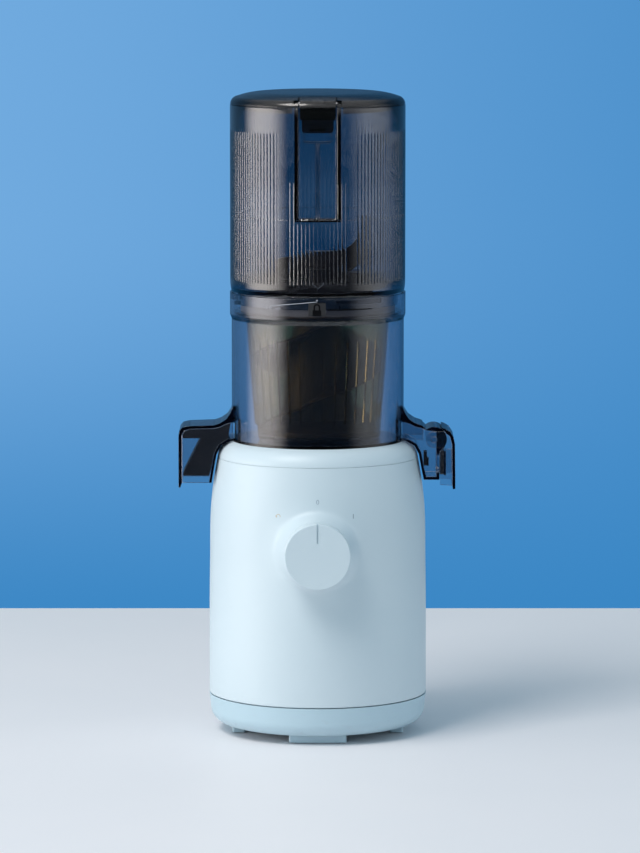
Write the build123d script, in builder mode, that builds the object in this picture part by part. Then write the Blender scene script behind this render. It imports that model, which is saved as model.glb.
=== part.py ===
from build123d import *
import math
import os

os.makedirs("parts", exist_ok=True)

# Self-feeding slow juicer. Millimetres, +Z up, front towards -Y.
# The origin is where the drive axis meets the table.

# ---------------------------------------------------------------- gaps and fits
gap = 0.4             # between pieces that move past each other
joint_gap = 0.1       # between fixed pieces that are assembled by hand
running = 0.05        # radial clearance of a pin or shaft in its bore
bite = 1.0            # how far a boss, rib or post is sunk into the wall that carries it
past = 1.0            # how far a cut runs past the face that it opens
through = 20.0        # depth of a cut that goes through whatever wall is there

# ---------------------------------------------------------------- radii, main sizes
drum_r = 56.6
drum_wall = 2.3
deck_shoulder = 9.4   # deck seam outside the drum
shell_flare = 5.7     # bowl seam outside the deck seam
rim_step = 1.1        # drum rim outside the drum
rim_wall = 2.3
hopper_step = 0.2     # hopper inside the rim
hopper_wall = 2.5
lid_step = 0.2        # lid inside the hopper
lid_wall = 2.5
base_wall = 2.5

# ---------------------------------------------------------------- heights, main sizes
foot_height = 5.7
foot_pad_height = 1.2
bowl_height = 20.0
bowl_round = 10.5
bowl_side = 11.5      # flat floor ends this far inside the bowl's edge
shell_height = 156.7
deck_height = 11.1
recess_depth = 6.5
drum_foot_height = 5.2
drum_floor_t = 2.4
drum_hub_height = 13.4
drum_height = 84.3
rim_height = 14.4
hopper_gap = 0.7
hopper_height = 122.4
lid_gap = 0.5
lid_height = 8.4
seam_gap = 0.6
lip_height = 3.5
lip_wall = 1.6

# ---------------------------------------------------------------- spindle, knob and bayonet
spindle_r = 8.0
spindle_hex = 13.0
spindle_reach = 18.0  # hexagon above the drum hub
knob_r = 21.5
knob_depth = 11.4
knob_stand = 9.4      # back of the knob in front of the shell
knob_height = 102.3   # dial axis above the bowl seam
drum_hub_r = 12.0
lug_count = 3
lug_angle = 30.0
lug_height = 2.7

# ---------------------------------------------------------------- what follows from them
deck_seam_r = drum_r + deck_shoulder
base_r = deck_seam_r + shell_flare
bowl_flat_r = base_r - bowl_side
rim_r = drum_r + rim_step
hopper_r = rim_r - hopper_step
lid_r = hopper_r - lid_step
drum_inner_r = drum_r - drum_wall
rim_inner_r = rim_r - rim_wall
hopper_inner_r = hopper_r - hopper_wall
deck_recess_r = drum_r + gap

base_seam_z = foot_height + bowl_height
deck_seam_z = base_seam_z + shell_height
deck_top_z = deck_seam_z + deck_height
deck_floor_z = deck_top_z - recess_depth
drum_foot_z = deck_floor_z + gap
drum_floor_z = drum_foot_z + drum_foot_height
drum_hub_z = drum_floor_z + drum_hub_height
rim_z = drum_floor_z + drum_height
rim_top_z = rim_z + rim_height
hopper_foot_z = rim_top_z + hopper_gap
hopper_top_z = hopper_foot_z + hopper_height
lid_seam_z = hopper_top_z + lid_gap
lid_top_z = lid_seam_z + lid_height
spindle_top_z = drum_hub_z + spindle_reach
knob_z = base_seam_z + knob_height

# points that shape the tapering shell and the deck's shoulder
shell_mid_height = 87.1
shell_mid_r = base_r - 0.5
shell_mid_z = base_seam_z + shell_mid_height
shell_high_r = base_r - 1.5
shell_high_down = 29.6
shell_high_z = deck_seam_z - shell_high_down
shell_turn_r = deck_seam_r + 2.7
shell_turn_down = 16.4
shell_turn_z = deck_seam_z - shell_turn_down
deck_turn_r = deck_seam_r - 3.5
deck_turn_z = deck_seam_z + 7.6
knob_back_y = -shell_mid_r - knob_stand
knob_face_y = knob_back_y - knob_depth

# ---------------------------------------------------------------- gears, main sizes
gear_module = 1.1
sun_teeth = 12
planet_teeth = 24
planet_count = 3
pressure_angle = math.radians(20)
addendum = 0.8 * gear_module
dedendum = 1.05 * gear_module
backlash = 0.12
gear_width = 12.0
gearbox_rim = 9.0     # gearbox outside the ring gear's pitch circle
ring_teeth = sun_teeth + 2 * planet_teeth
sun_r = gear_module * sun_teeth / 2
planet_r = gear_module * planet_teeth / 2
ring_r = gear_module * ring_teeth / 2
carrier_r = sun_r + planet_r
gearbox_r = ring_r + gearbox_rim


# ================================================================ BASE CASING
def bowl_outline(inset):
    """Half outline of the base bowl: flat floor, quarter round, flared side."""
    floor = foot_height + inset
    with BuildLine() as line:
        Line((0, floor), (bowl_flat_r, floor))
        turn = CenterArc((bowl_flat_r, foot_height + bowl_round), bowl_round - inset, -90, 90)
        side = Line(turn @ 1, (base_r - inset, base_seam_z - seam_gap / 2))
        Polyline(side @ 1, (0, base_seam_z - seam_gap / 2), (0, floor))
    return line.line


def shell_outline(inset):
    """Half outline of the tapering body shell, from the bowl seam to the deck seam."""
    low = (base_r - inset, base_seam_z + seam_gap / 2)
    high = (deck_seam_r - inset, deck_seam_z)
    with BuildLine() as line:
        Line((0, low[1]), low)
        Spline(
            low,
            (shell_mid_r - inset, shell_mid_z),
            (shell_high_r - inset, shell_high_z),
            (shell_turn_r - inset, shell_turn_z),
            high,
            tangents=[(0, 1), (deck_seam_r - shell_turn_r, deck_seam_z - shell_turn_z)],
        )
        Polyline(high, (0, high[1]), (0, low[1]))
    return line.line


# ---- bottom cover: a bowl with four moulded feet, a lip and bosses
foot_r = bowl_flat_r - 3.8
foot_depth = 8.6
foot_width = 37.6
foot_corner_r = 1.5
pad_depth = 6.0
pad_width = 30.0
pad_recess = 0.6
boss_count = 4
boss_ring_r = base_r - 12.7
boss_r = 4.0
boss_start = 45.0
screw_r = 1.5
screw_head_r = 3.0
screw_head_h = 2.0
boss_above_lip = 2.0
shell_boss_foot_z = base_seam_z + lip_height + boss_above_lip
board_stand_x = 26.0
board_stand_y = 18.0
board_stand_r = 3.0
board_stand_height = 9.8
vent_count = 9
vent_width = 2.4
vent_length = 34.0
vent_pitch = 5.2

bowl_floor_z = foot_height + base_wall
board_z = bowl_floor_z + board_stand_height
lip_r = base_r - base_wall - joint_gap

with BuildPart() as bottom_cover:
    with BuildSketch(Plane.XZ):
        add(bowl_outline(0))
        make_face()
    revolve(axis=Axis.Z)
    with BuildSketch(Plane.XZ):
        add(bowl_outline(base_wall))
        make_face()
    revolve(axis=Axis.Z, mode=Mode.SUBTRACT)
    # lip that centres the body shell
    with BuildSketch(Plane.XY.offset(base_seam_z - lip_height)):
        Circle(lip_r)
        Circle(lip_r - lip_wall, mode=Mode.SUBTRACT)
    extrude(amount=2 * lip_height)
    # feet at the front, the back and both sides
    with BuildSketch(Plane.XY.offset(foot_pad_height - pad_recess)):
        with PolarLocations(foot_r - foot_depth / 2, 4):
            RectangleRounded(foot_depth, foot_width, foot_corner_r)
    extrude(until=Until.NEXT)
    with BuildSketch(Plane.XY.offset(foot_pad_height - pad_recess)):
        with PolarLocations(foot_r - foot_depth / 2, 4):
            Rectangle(pad_depth, pad_width)
    extrude(amount=pad_recess, mode=Mode.SUBTRACT)
    # bosses for the screws that hold the body shell
    with BuildSketch(Plane.XY.offset(bowl_floor_z - bite)):
        with PolarLocations(boss_ring_r, boss_count, boss_start):
            Circle(boss_r)
    extrude(amount=shell_boss_foot_z - bowl_floor_z + bite - joint_gap)
    with BuildSketch(Plane.XY.offset(foot_height - past)):
        with PolarLocations(boss_ring_r, boss_count, boss_start):
            Circle(screw_r + joint_gap)
    extrude(amount=shell_boss_foot_z, mode=Mode.SUBTRACT)
    with BuildSketch(Plane.XY.offset(foot_height - past)):
        with PolarLocations(boss_ring_r, boss_count, boss_start):
            Circle(screw_head_r + joint_gap)
    extrude(amount=past + screw_head_h + 2 * joint_gap, mode=Mode.SUBTRACT)
    # standoffs for the circuit board
    with BuildSketch(Plane.XY.offset(bowl_floor_z - bite)):
        with GridLocations(2 * board_stand_x, 2 * board_stand_y, 2, 2):
            Circle(board_stand_r)
    extrude(amount=board_z - bowl_floor_z + bite)
    # cooling slots through the floor
    with BuildSketch(Plane.XY.offset(foot_height - past)):
        with GridLocations(vent_pitch, 0, vent_count, 1):
            SlotOverall(vent_length, vent_width, rotation=90)
    extrude(amount=base_wall + 2 * past, mode=Mode.SUBTRACT)
bottom_cover.part.label = "bottom_cover"
export_step(bottom_cover.part, "parts/bottom_cover.step")

# ---- foot pads: four rubber strips let into the feet
with BuildPart() as foot_pads:
    with BuildSketch():
        with PolarLocations(foot_r - foot_depth / 2, 4):
            Rectangle(pad_depth - 2 * joint_gap, pad_width - 2 * joint_gap)
    extrude(amount=foot_pad_height)
foot_pads.part.label = "foot_pads"
export_step(foot_pads.part, "parts/foot_pads.step")

# ---- body shell: tapering tube with the flared dial boss and the cord hole
shell_boss_height = 38.8
boss_flare_foot_r = knob_r + 8.5
boss_flare_foot_y = 6.2 - shell_mid_r
boss_flare_mid_r = knob_r + 2.9
boss_flare_mid_y = -shell_mid_r - 1.4
boss_flare_root = 6.0
boss_face_r = knob_r + gap
boss_pocket_r = knob_r - 3.0
boss_face_t = 3.2
switch_neck_r = 5.0
cord_height = 20.3         # cord hole above the lower seam
cord_z = base_seam_z + cord_height
cord_hole_r = 6.0
deck_screw_ring_r = deck_recess_r - 6.5
deck_screw_start = 90.0
deck_screw_count = 3
deck_boss_r = 3.6
web_t = 2.4
boss_web_length = base_r - base_wall / 2 - boss_ring_r
deck_web_length = deck_seam_r - base_wall / 2 - deck_screw_ring_r
deck_boss_height = 24.4
deck_boss_foot_z = deck_seam_z - deck_boss_height
screw_hole_floor = 2.0
deck_boss_top_z = deck_floor_z - base_wall - joint_gap
boss_face_y = knob_back_y + gap
dial_axis = Axis((0, 0, knob_z), (0, 1, 0))

with BuildPart() as body_shell:
    with BuildSketch(Plane.XZ):
        add(shell_outline(0))
        make_face()
    revolve(axis=Axis.Z)
    # flared boss that carries the knob, turned about the dial axis
    with BuildSketch(Plane.YZ):
        with BuildLine():
            flare = ThreePointArc(
                (boss_face_y, knob_z + boss_face_r),
                (boss_flare_mid_y, knob_z + boss_flare_mid_r),
                (boss_flare_foot_y, knob_z + boss_flare_foot_r),
            )
            Polyline(
                flare @ 1,
                (boss_flare_foot_y + boss_flare_root, knob_z + boss_flare_foot_r),
                (boss_flare_foot_y + boss_flare_root, knob_z),
                (boss_face_y, knob_z),
                flare @ 0,
            )
        make_face()
    revolve(axis=dial_axis)
    # hollow inside
    with BuildSketch(Plane.XZ):
        add(shell_outline(base_wall))
        make_face()
    revolve(axis=Axis.Z, mode=Mode.SUBTRACT)
    with BuildSketch(Plane.XY.offset(deck_seam_z)):
        Circle(deck_seam_r - base_wall)
    extrude(amount=-lip_height, mode=Mode.SUBTRACT)
    with BuildSketch(Plane.XZ.offset(-boss_face_y - boss_face_t)):
        with Locations((0, knob_z)):
            Circle(boss_pocket_r)
    extrude(amount=-through, mode=Mode.SUBTRACT)
    with BuildSketch(Plane.XZ.offset(-boss_face_y + past)):
        with Locations((0, knob_z)):
            Circle(switch_neck_r)
    extrude(amount=-through, mode=Mode.SUBTRACT)
    # hole for the cord gland at the back
    with BuildSketch(Plane.XZ.offset(-base_r - past)):
        with Locations((0, cord_z)):
            Circle(cord_hole_r)
    extrude(amount=through, mode=Mode.SUBTRACT)
    # lower columns for the bottom screws
    with BuildSketch(Plane.XY.offset(shell_boss_foot_z)):
        with PolarLocations(boss_ring_r, boss_count, boss_start):
            Circle(boss_r)
            with Locations((boss_web_length / 2, 0)):
                Rectangle(boss_web_length, web_t)
    extrude(amount=shell_boss_height)
    with BuildSketch(Plane.XY.offset(shell_boss_foot_z)):
        with PolarLocations(boss_ring_r, boss_count, boss_start):
            Circle(screw_r)
    extrude(amount=through, mode=Mode.SUBTRACT)
    # upper columns for the deck screws, each on a web from the wall
    with BuildSketch(Plane.XY.offset(deck_boss_foot_z)):
        with PolarLocations(deck_screw_ring_r, deck_screw_count, deck_screw_start):
            Circle(deck_boss_r)
    extrude(amount=deck_boss_top_z - deck_boss_foot_z)
    with BuildSketch(Plane.XY.offset(deck_boss_foot_z)):
        with PolarLocations(deck_screw_ring_r, deck_screw_count, deck_screw_start):
            with Locations((deck_web_length / 2, 0)):
                Rectangle(deck_web_length, web_t)
    extrude(amount=deck_seam_z - lip_height - joint_gap - deck_boss_foot_z)
    with BuildSketch(Plane.XY.offset(deck_boss_foot_z + screw_hole_floor)):
        with PolarLocations(deck_screw_ring_r, deck_screw_count, deck_screw_start):
            Circle(screw_r)
    extrude(amount=2 * through, mode=Mode.SUBTRACT)
body_shell.part.label = "body_shell"
export_step(body_shell.part, "parts/body_shell.step")

# ---- top deck: rounded shoulder ring, round recess for the drum, lip and motor posts
post_ring_r = gearbox_r - 8.0
post_count = 3
post_start = 90.0
post_r = 4.5
post_height = 21.0
post_foot_z = deck_floor_z - post_height
post_hole_depth = 14.0
seal_width = 3.0
seal_ledge_t = 1.2
seal_above_deck = 2.6
seal_seat_wall = 2.0
seal_r = spindle_r + seal_width
seal_seat_r = seal_r + seal_seat_wall
seal_foot_z = deck_floor_z - base_wall + seal_ledge_t
seal_top_z = deck_floor_z + seal_above_deck

with BuildPart() as top_deck:
    with BuildSketch(Plane.XZ):
        with BuildLine():
            Line((0, deck_seam_z + joint_gap), (deck_seam_r, deck_seam_z + joint_gap))
            shoulder = ThreePointArc(
                (deck_seam_r, deck_seam_z + joint_gap),
                (deck_turn_r, deck_turn_z),
                (deck_recess_r, deck_top_z),
            )
            Polyline(shoulder @ 1, (0, deck_top_z), (0, deck_seam_z + joint_gap))
        make_face()
    revolve(axis=Axis.Z)
    # lip that sits inside the body shell
    with BuildSketch(Plane.XY.offset(deck_seam_z - lip_height + joint_gap)):
        Circle(deck_seam_r - base_wall - joint_gap)
        Circle(deck_seam_r - base_wall - joint_gap - lip_wall, mode=Mode.SUBTRACT)
    extrude(amount=lip_height)
    # recess that the drum stands in, with the hub around the spindle left standing
    with BuildSketch(Plane.XY.offset(deck_floor_z)):
        Circle(deck_recess_r)
        Circle(seal_seat_r, mode=Mode.SUBTRACT)
    extrude(amount=deck_top_z, mode=Mode.SUBTRACT)
    with BuildSketch(Plane.XY.offset(seal_top_z)):
        Circle(seal_seat_r)
    extrude(amount=deck_top_z, mode=Mode.SUBTRACT)
    # hollow below the recess floor
    with BuildSketch(Plane.XY.offset(deck_seam_z)):
        Circle(deck_recess_r + base_wall)
    extrude(amount=deck_floor_z - base_wall - deck_seam_z, mode=Mode.SUBTRACT)
    # posts that the gearbox hangs from
    with BuildSketch(Plane.XY.offset(post_foot_z)):
        with PolarLocations(post_ring_r, post_count, post_start):
            Circle(post_r)
    extrude(amount=deck_floor_z - bite - post_foot_z)
    with BuildSketch(Plane.XY.offset(post_foot_z)):
        with PolarLocations(post_ring_r, post_count, post_start):
            Circle(screw_r)
    extrude(amount=post_hole_depth, mode=Mode.SUBTRACT)
    # hub bore, seal seat and deck screw holes
    with BuildSketch(Plane.XY.offset(deck_seam_z)):
        Circle(spindle_r + gap)
    extrude(amount=through, mode=Mode.SUBTRACT)
    with BuildSketch(Plane.XY.offset(seal_foot_z)):
        Circle(seal_r)
    extrude(amount=through, mode=Mode.SUBTRACT)
    with BuildSketch(Plane.XY.offset(deck_seam_z)):
        with PolarLocations(deck_screw_ring_r, deck_screw_count, deck_screw_start):
            Circle(screw_r + joint_gap)
    extrude(amount=through, mode=Mode.SUBTRACT)
top_deck.part.label = "top_deck"
export_step(top_deck.part, "parts/top_deck.step")

# ---- deck screws: three pan heads on the recess floor
cross_length = 3.2
cross_width = 0.8
cross_depth = 1.0
deck_screw_length = 14.0
bottom_screw_grip = 10.0
with BuildPart() as deck_screws:
    with BuildSketch(Plane.XY.offset(deck_floor_z)):
        with PolarLocations(deck_screw_ring_r, deck_screw_count, deck_screw_start):
            Circle(screw_head_r)
    extrude(amount=screw_head_h)
    with BuildSketch(Plane.XY.offset(deck_floor_z)):
        with PolarLocations(deck_screw_ring_r, deck_screw_count, deck_screw_start):
            Circle(screw_r)
    extrude(amount=-deck_screw_length)
    with BuildSketch(Plane.XY.offset(deck_floor_z + screw_head_h)):
        with PolarLocations(deck_screw_ring_r, deck_screw_count, deck_screw_start):
            Rectangle(cross_length, cross_width)
            Rectangle(cross_width, cross_length)
    extrude(amount=-cross_depth, mode=Mode.SUBTRACT)
deck_screws.part.label = "deck_screws"
export_step(deck_screws.part, "parts/deck_screws.step")

# ---- bottom screws: four, from below, deep in the bowl bosses
with BuildPart() as bottom_screws:
    with BuildSketch(Plane.XY.offset(foot_height + 2 * joint_gap)):
        with PolarLocations(boss_ring_r, boss_count, boss_start):
            Circle(screw_head_r)
    extrude(amount=screw_head_h)
    with BuildSketch(Plane.XY.offset(foot_height + 2 * joint_gap)):
        with PolarLocations(boss_ring_r, boss_count, boss_start):
            Circle(screw_r)
    extrude(amount=shell_boss_foot_z + bottom_screw_grip - foot_height)
    with BuildSketch(Plane.XY.offset(foot_height)):
        with PolarLocations(boss_ring_r, boss_count, boss_start):
            Rectangle(cross_length, cross_width)
            Rectangle(cross_width, cross_length)
    extrude(amount=cross_depth + 2 * joint_gap, mode=Mode.SUBTRACT)
bottom_screws.part.label = "bottom_screws"
export_step(bottom_screws.part, "parts/bottom_screws.step")


# ================================================================ GEARBOX
tooth_root = 0.16      # how far a tooth reaches into the body of its gear


def involute(angle):
    return math.tan(angle) - angle


def gear_face(teeth, inner_r, outer_r, extra_width):
    """Solid spur gear outline with involute flanks and a tooth centred on +X."""
    pitch_r = gear_module * teeth / 2
    base_circle_r = pitch_r * math.cos(pressure_angle)
    half_at_pitch = math.pi / (2 * teeth) + extra_width / (2 * pitch_r)
    start_r = max(base_circle_r, inner_r)
    flank = []
    for step in range(4):
        r = start_r + (outer_r - start_r) * step / 3
        half = half_at_pitch + involute(pressure_angle) - involute(math.acos(base_circle_r / r))
        flank.append((r * math.cos(half), r * math.sin(half)))
    start_half = math.atan2(flank[0][1], flank[0][0])
    root_r = inner_r - tooth_root
    root = (root_r * math.cos(start_half), root_r * math.sin(start_half))
    with BuildSketch() as tooth:
        with BuildLine():
            Line(root, flank[0])
            Spline(*flank)
            ThreePointArc(flank[-1], (outer_r, 0), (flank[-1][0], -flank[-1][1]))
            Spline(*[(x, -y) for x, y in reversed(flank)])
            Polyline((flank[0][0], -flank[0][1]), (root[0], -root[1]), root)
        make_face()
    with BuildSketch() as face:
        Circle(inner_r)
        with PolarLocations(0, teeth):
            add(tooth.sketch)
    return face.sketch


gearbox_wall = 3.8
gearbox_floor_t = 4.0
gearbox_sump = 8.0
damper_height = 4.0
gearbox_top_z = post_foot_z - damper_height
gearbox_cover_t = 3.5
gearbox_lid_z = gearbox_top_z - gearbox_cover_t
output_bearing_w = 9.0
output_bearing_wall = 8.0
output_bearing_r = spindle_r + output_bearing_wall
carrier_t = 5.0
carrier_margin = 7.2
carrier_plate_r = carrier_r + carrier_margin
carrier_below_cover = 8.0
carrier_above_gears = 1.0
carrier_top_z = gearbox_lid_z - carrier_below_cover
carrier_z = carrier_top_z - carrier_t
gear_top_z = carrier_z - carrier_above_gears
gear_z = gear_top_z - gear_width
gearbox_z = gear_z - gearbox_sump
pin_r = 3.0
motor_shaft_r = 4.0
motor_bearing_wall = 7.0
motor_bearing_r = motor_shaft_r + motor_bearing_wall
motor_bearing_w = 7.0
bearing_seat_wall = 2.5
gearbox_screw_ring_r = gearbox_r - gearbox_wall / 2
gearbox_screw_count = 6
gearbox_screw_start = 0.0
gearbox_ear_r = 5.5
gearbox_screw_r = 0.9
gearbox_screw_grip = 8.0
gearbox_screw_head_h = 1.4

# ---- gearbox housing: die-cast cup with the upper motor bearing seat below it
with BuildPart() as gearbox_housing:
    with BuildSketch(Plane.XY.offset(gearbox_z)):
        Circle(gearbox_r)
    extrude(amount=gearbox_lid_z - gearbox_z)
    with BuildSketch(Plane.XY.offset(gearbox_z + gearbox_floor_t)):
        Circle(gearbox_r - gearbox_wall)
    extrude(amount=gearbox_lid_z, mode=Mode.SUBTRACT)
    with BuildSketch(Plane.XY.offset(gearbox_z)):
        Circle(motor_bearing_r + bearing_seat_wall)
    extrude(amount=-motor_bearing_w)
    with BuildSketch(Plane.XY.offset(gearbox_z - motor_bearing_w)):
        Circle(motor_bearing_r)
    extrude(amount=motor_bearing_w, mode=Mode.SUBTRACT)
    with BuildSketch(Plane.XY.offset(gearbox_z)):
        Circle(motor_shaft_r + gap)
    extrude(amount=gearbox_floor_t, mode=Mode.SUBTRACT)
    with BuildSketch(Plane.XY.offset(gearbox_lid_z)):
        with PolarLocations(gearbox_screw_ring_r, gearbox_screw_count, gearbox_screw_start):
            Circle(gearbox_screw_r)
    extrude(amount=-gearbox_screw_grip - 2 * past, mode=Mode.SUBTRACT)
gearbox_housing.part.label = "gearbox_housing"
export_step(gearbox_housing.part, "parts/gearbox_housing.step")

# ---- ring gear: fixed inside the housing
ring_gear_extra = 1.0
with BuildPart() as ring_gear:
    with BuildSketch(Plane.XY.offset(gear_z - ring_gear_extra)):
        Circle(gearbox_r - gearbox_wall - joint_gap)
        with PolarLocations(0, 1, 180 / ring_teeth):
            add(gear_face(ring_teeth, ring_r - addendum, ring_r + dedendum, backlash), mode=Mode.SUBTRACT)
    extrude(amount=gear_width + 2 * ring_gear_extra)
ring_gear.part.label = "ring_gear"
export_step(ring_gear.part, "parts/ring_gear.step")

# ---- sun gear: pressed on the motor shaft
with BuildPart() as sun_gear:
    with BuildSketch(Plane.XY.offset(gear_z)):
        add(gear_face(sun_teeth, sun_r - dedendum, sun_r + addendum, -backlash))
        Circle(motor_shaft_r, mode=Mode.SUBTRACT)
    extrude(amount=gear_width)
sun_gear.part.label = "sun_gear"
export_step(sun_gear.part, "parts/sun_gear.step")

# ---- planet gears: three, each turned half a tooth so that a gap faces the sun
planet_side_gap = 0.2
planet_face = Rot(0, 0, 180 / planet_teeth) * gear_face(
    planet_teeth, planet_r - dedendum, planet_r + addendum, -backlash
)
for planet in range(planet_count):
    place = Plane.XY.offset(gear_z + planet_side_gap).rotated((0, 0, planet * 360 / planet_count))
    with BuildPart() as planet_gear:
        with BuildSketch(place):
            with Locations((carrier_r, 0)):
                add(planet_face)
                Circle(pin_r + running, mode=Mode.SUBTRACT)
        extrude(amount=gear_width - 2 * planet_side_gap)
    planet_gear.part.label = f"planet_gear_{planet + 1}"
    export_step(planet_gear.part, f"parts/planet_gear_{planet + 1}.step")

# ---- planet carrier: plate above the planets, holding the three pins and the spindle
spindle_foot_r = spindle_r + 1.0
with BuildPart() as planet_carrier:
    with BuildSketch(Plane.XY.offset(carrier_z)):
        Circle(carrier_plate_r)
        Circle(spindle_foot_r, mode=Mode.SUBTRACT)
        with PolarLocations(carrier_r, planet_count):
            Circle(pin_r, mode=Mode.SUBTRACT)
    extrude(amount=carrier_t)
planet_carrier.part.label = "planet_carrier"
export_step(planet_carrier.part, "parts/planet_carrier.step")

# ---- planet pins: pressed in the carrier, one under each planet
pin_tip = 0.5
with BuildPart() as planet_pins:
    with BuildSketch(Plane.XY.offset(gear_z - pin_tip)):
        with PolarLocations(carrier_r, planet_count):
            Circle(pin_r)
    extrude(amount=carrier_top_z - gear_z + pin_tip)
planet_pins.part.label = "planet_pins"
export_step(planet_pins.part, "parts/planet_pins.step")

# ---- output spindle: round through the bearing and seal, hexagonal where it drives
spindle_shoulder = 1.0
spindle_chamfer = 0.8
spindle_round_top_z = seal_top_z + spindle_shoulder
with BuildPart() as output_spindle:
    with BuildSketch(Plane.XY.offset(carrier_z)):
        Circle(spindle_foot_r)
    extrude(amount=carrier_t)
    with BuildSketch(Plane.XY.offset(carrier_z)):
        Circle(spindle_r)
    extrude(amount=spindle_round_top_z - carrier_z)
    with BuildSketch(Plane.XY.offset(carrier_z)):
        RegularPolygon(spindle_hex / 2, 6, major_radius=False)
    extrude(amount=spindle_top_z - carrier_z)
    chamfer(output_spindle.faces().sort_by(Axis.Z)[-1].edges(), spindle_chamfer)
output_spindle.part.label = "output_spindle"
export_step(output_spindle.part, "parts/output_spindle.step")

# ---- gearbox cover: closes the cup, holds the output bearing, hangs from the posts
bearing_boss_wall = 2.5
bearing_ledge_t = 1.5
bearing_ledge_bore = spindle_r + 2.0
with BuildPart() as gearbox_cover:
    with BuildSketch(Plane.XY.offset(gearbox_lid_z)):
        Circle(gearbox_r)
        with PolarLocations(post_ring_r, post_count, post_start):
            Circle(gearbox_ear_r)
    extrude(amount=gearbox_cover_t)
    with BuildSketch(Plane.XY.offset(gearbox_top_z - output_bearing_w - bearing_ledge_t)):
        Circle(output_bearing_r + bearing_boss_wall)
    extrude(amount=output_bearing_w)
    with BuildSketch(Plane.XY.offset(gearbox_top_z - output_bearing_w)):
        Circle(output_bearing_r)
    extrude(amount=output_bearing_w, mode=Mode.SUBTRACT)
    with BuildSketch(Plane.XY.offset(gearbox_lid_z - output_bearing_w)):
        Circle(bearing_ledge_bore)
        with PolarLocations(post_ring_r, post_count, post_start):
            Circle(screw_r + joint_gap)
    extrude(amount=2 * through, mode=Mode.SUBTRACT)
    with BuildSketch(Plane.XY.offset(gearbox_lid_z)):
        with PolarLocations(gearbox_screw_ring_r, gearbox_screw_count, gearbox_screw_start):
            Circle(gearbox_screw_r + joint_gap)
    extrude(amount=gearbox_cover_t, mode=Mode.SUBTRACT)
gearbox_cover.part.label = "gearbox_cover"
export_step(gearbox_cover.part, "parts/gearbox_cover.step")

# ---- output bearing: plain ring bearing in the cover boss
bearing_outer_t = 2.0
bearing_inner_t = 2.5
bearing_groove = 0.6
with BuildPart() as output_bearing:
    with BuildSketch(Plane.XY.offset(gearbox_top_z - output_bearing_w)):
        Circle(output_bearing_r)
        Circle(spindle_r + running, mode=Mode.SUBTRACT)
    extrude(amount=output_bearing_w)
    ends = output_bearing.faces().sort_by(Axis.Z)
    for face in (ends[0], ends[-1]):
        with BuildSketch(Plane(face.center(), z_dir=face.normal_at())):
            Circle(output_bearing_r - bearing_outer_t)
            Circle(spindle_r + bearing_inner_t, mode=Mode.SUBTRACT)
        extrude(amount=-bearing_groove, mode=Mode.SUBTRACT)
output_bearing.part.label = "output_bearing"
export_step(output_bearing.part, "parts/output_bearing.step")

# ---- gearbox screws: six around the cover
with BuildPart() as gearbox_screws:
    with BuildSketch(Plane.XY.offset(gearbox_top_z)):
        with PolarLocations(gearbox_screw_ring_r, gearbox_screw_count, gearbox_screw_start):
            Circle(2 * gearbox_screw_r)
    extrude(amount=gearbox_screw_head_h)
    with BuildSketch(Plane.XY.offset(gearbox_top_z)):
        with PolarLocations(gearbox_screw_ring_r, gearbox_screw_count, gearbox_screw_start):
            Circle(gearbox_screw_r)
    extrude(amount=-gearbox_cover_t - gearbox_screw_grip)
gearbox_screws.part.label = "gearbox_screws"
export_step(gearbox_screws.part, "parts/gearbox_screws.step")

# ---- gearbox dampers: rubber rings between the posts and the cover
damper_lip = 0.8
with BuildPart() as gearbox_dampers:
    with BuildSketch(Plane.XY.offset(gearbox_top_z)):
        with PolarLocations(post_ring_r, post_count, post_start):
            Circle(post_r + damper_lip)
            Circle(screw_r + joint_gap, mode=Mode.SUBTRACT)
    extrude(amount=damper_height)
    fillet(gearbox_dampers.edges().filter_by(GeomType.CIRCLE).group_by(SortBy.LENGTH)[-1], damper_lip)
gearbox_dampers.part.label = "gearbox_dampers"
export_step(gearbox_dampers.part, "parts/gearbox_dampers.step")

# ---- hanger screws: from below the cover, through the dampers into the posts
hanger_head_r = 2.6
hanger_head_h = 1.4
hanger_grip = 12.0
with BuildPart() as hanger_screws:
    with BuildSketch(Plane.XY.offset(gearbox_lid_z)):
        with PolarLocations(post_ring_r, post_count, post_start):
            Circle(hanger_head_r)
    extrude(amount=-hanger_head_h)
    with BuildSketch(Plane.XY.offset(gearbox_lid_z)):
        with PolarLocations(post_ring_r, post_count, post_start):
            Circle(screw_r)
    extrude(amount=post_foot_z + hanger_grip - gearbox_lid_z)
hanger_screws.part.label = "hanger_screws"
export_step(hanger_screws.part, "parts/hanger_screws.step")

# ---- spindle seal: rubber lip ring in the deck hub
seal_lip = 0.8
seal_groove = 1.0
with BuildPart() as spindle_seal:
    with BuildSketch(Plane.XY.offset(seal_foot_z)):
        Circle(seal_r)
        Circle(spindle_r + running, mode=Mode.SUBTRACT)
    extrude(amount=seal_top_z - seal_foot_z)
    with BuildSketch(Plane.XY.offset(seal_top_z)):
        Circle(seal_r - seal_lip)
        Circle(seal_r - seal_lip - seal_groove, mode=Mode.SUBTRACT)
    extrude(amount=-seal_groove, mode=Mode.SUBTRACT)
spindle_seal.part.label = "spindle_seal"
export_step(spindle_seal.part, "parts/spindle_seal.step")


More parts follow.
